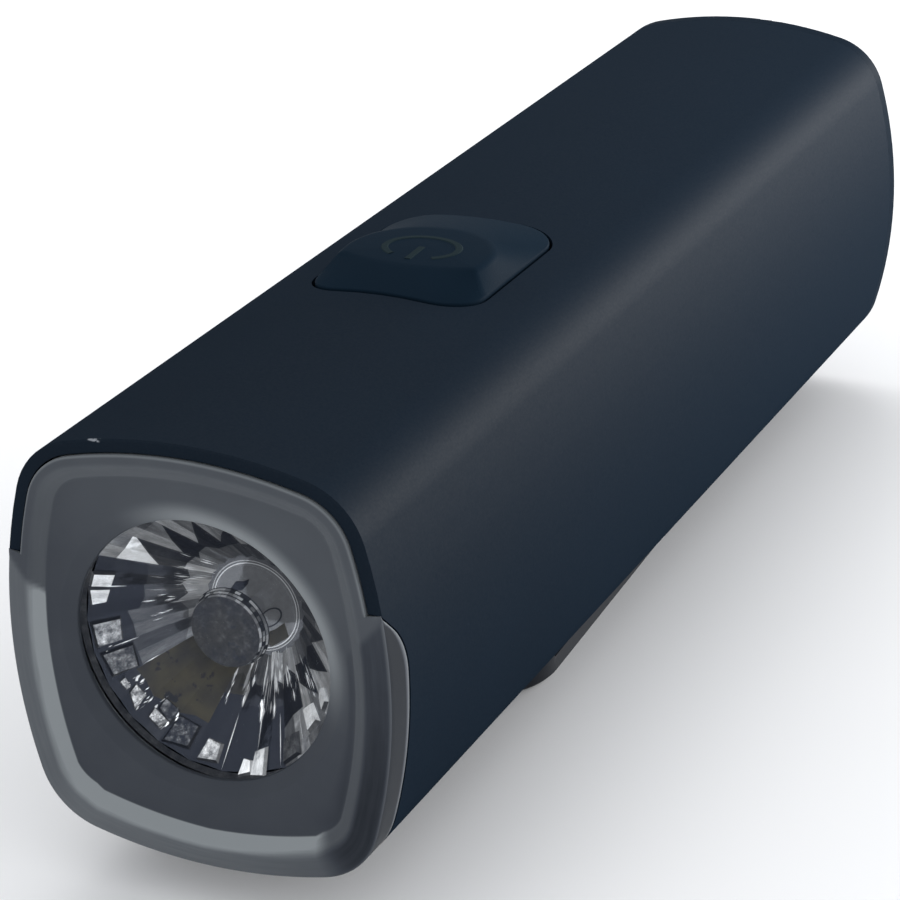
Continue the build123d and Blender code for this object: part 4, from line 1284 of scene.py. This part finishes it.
def makeSymbol(shape):
    (wide, long), half, parts = shape["stretch"], shape["opening"] / 2, shape["barSteps"]
    radii = (shape["radius"] * wide, shape["radius"] * long)
    arc = arcPoints(Vector((0, 0)), radii, half - 90, 270 - half, shape["arcSteps"])
    bar = [Vector((0, -shape["bar"] * long * step / parts)) for step in range(parts + 1)]
    points, faces = [], []
    for path in (arc, bar):
        start, last, sides = len(points), len(path) - 1, len(shape["section"])
        for index, point in enumerate(path):
            along = (path[min(index + 1, last)] - path[max(index - 1, 0)]).normalized()
            side = Vector((-along.y, along.x)) * shape["line"] / 2
            for share, lift in shape["section"]:
                x, depth = point + side * share + Vector((0, shape["centre"]))
                fromMiddle = (x / button["padHalfWidth"], (depth - shape["padMiddle"]) / shape["padReach"])
                crown = button["crown"] * math.hypot(*fromMiddle)
                points.append(spot(x, depth, button["padTop"] - crown + shape["height"] * lift))
        loops = gridFaces(len(path), sides) + [range(sides), range(last * sides, (last + 1) * sides)]
        faces += [tuple(start + corner for corner in loop) for loop in loops]
    marks = {"mark": [1.0] * len(points)}
    makePiece("power_symbol", points, faces, "button_silicone", "button", smooth=False, marks=marks)


makeSymbol(symbol)
print("button made")

# Floor, backdrop and light
studio = {
    "floorSize": 1.5,
    "floorGap": 0.1,
    "floorColour": (0.90, 0.90, 0.91),
    "speckColour": (0.927, 0.927, 0.9373),
    "speckSize": 40.0,
    "worldStrength": 0.85,
    "worldColour": (0.96, 0.98, 1.0),
}
lamps = {
    # place, the point it faces, size, power and colour
    "key": ((-0.40, 0.45, 1.15), (0, 0, 0.02), (0.9, 0.9), 4.5, (1, 1, 1)),
    "rear": ((0.54, 0.96, 0.12), (0, 0, 0.03), (0.85, 0.22), 19.0, (1, 0.99, 0.98)),
}


def makeGround(look):
    half, low = look["floorSize"] / 2, -look["floorGap"] * mm
    mesh = bpy.data.meshes.new("floor")
    corners = [(-half, -half, low), (half, -half, low), (half, half, low), (-half, half, low)]
    mesh.from_pydata(corners, [], [(0, 1, 2, 3)])
    floor = addObject("floor", mesh)
    paint = Paint("floor")
    colour = paint.blend(paint.noise(look["speckSize"], 3.0), look["floorColour"], look["speckColour"])
    mesh.materials.append(paint.finish(Base_Color=colour, Roughness=0.9, Specular_IOR_Level=0.1))


def makeWorld(look):
    # the camera, mirror reflections and views through the glass meet white, other rays the light
    world = bpy.data.worlds.new("studio")
    paint = Paint("studio", world)
    rays = paint.node("ShaderNodeLightPath")
    seen = rays.out("Is Camera Ray").math("MAXIMUM", rays.out("Is Glossy Ray"))
    seen = seen.math("MAXIMUM", rays.out("Is Transmission Ray"))
    glow = {"Color": look["worldColour"], "Strength": look["worldStrength"]}
    light = paint.node("ShaderNodeBackground", inputs=glow)
    white = paint.node("ShaderNodeBackground", inputs={"Color": (1.0, 1.0, 1.0)})
    mixed = paint.node("ShaderNodeMixShader", inputs={0: seen, 1: light, 2: white})
    paint.node("ShaderNodeOutputWorld", inputs={"Surface": mixed})
    bpy.context.scene.world = world


def makeLamp(name, place, aim, size, power, colour):
    light = bpy.data.lights.new(name, "AREA")
    light.shape = "RECTANGLE"
    light.size, light.size_y = size
    light.energy = power
    light.color = colour
    lamp = addObject(name, light)
    lamp.location = place
    lamp.rotation_euler = (Vector(aim) - Vector(place)).to_track_quat("-Z", "Y").to_euler()


makeGround(studio)
makeWorld(studio)
for lampName, values in lamps.items():
    makeLamp(lampName, *values)
bpy.context.scene.view_settings.view_transform = "Standard"
print("studio lit")
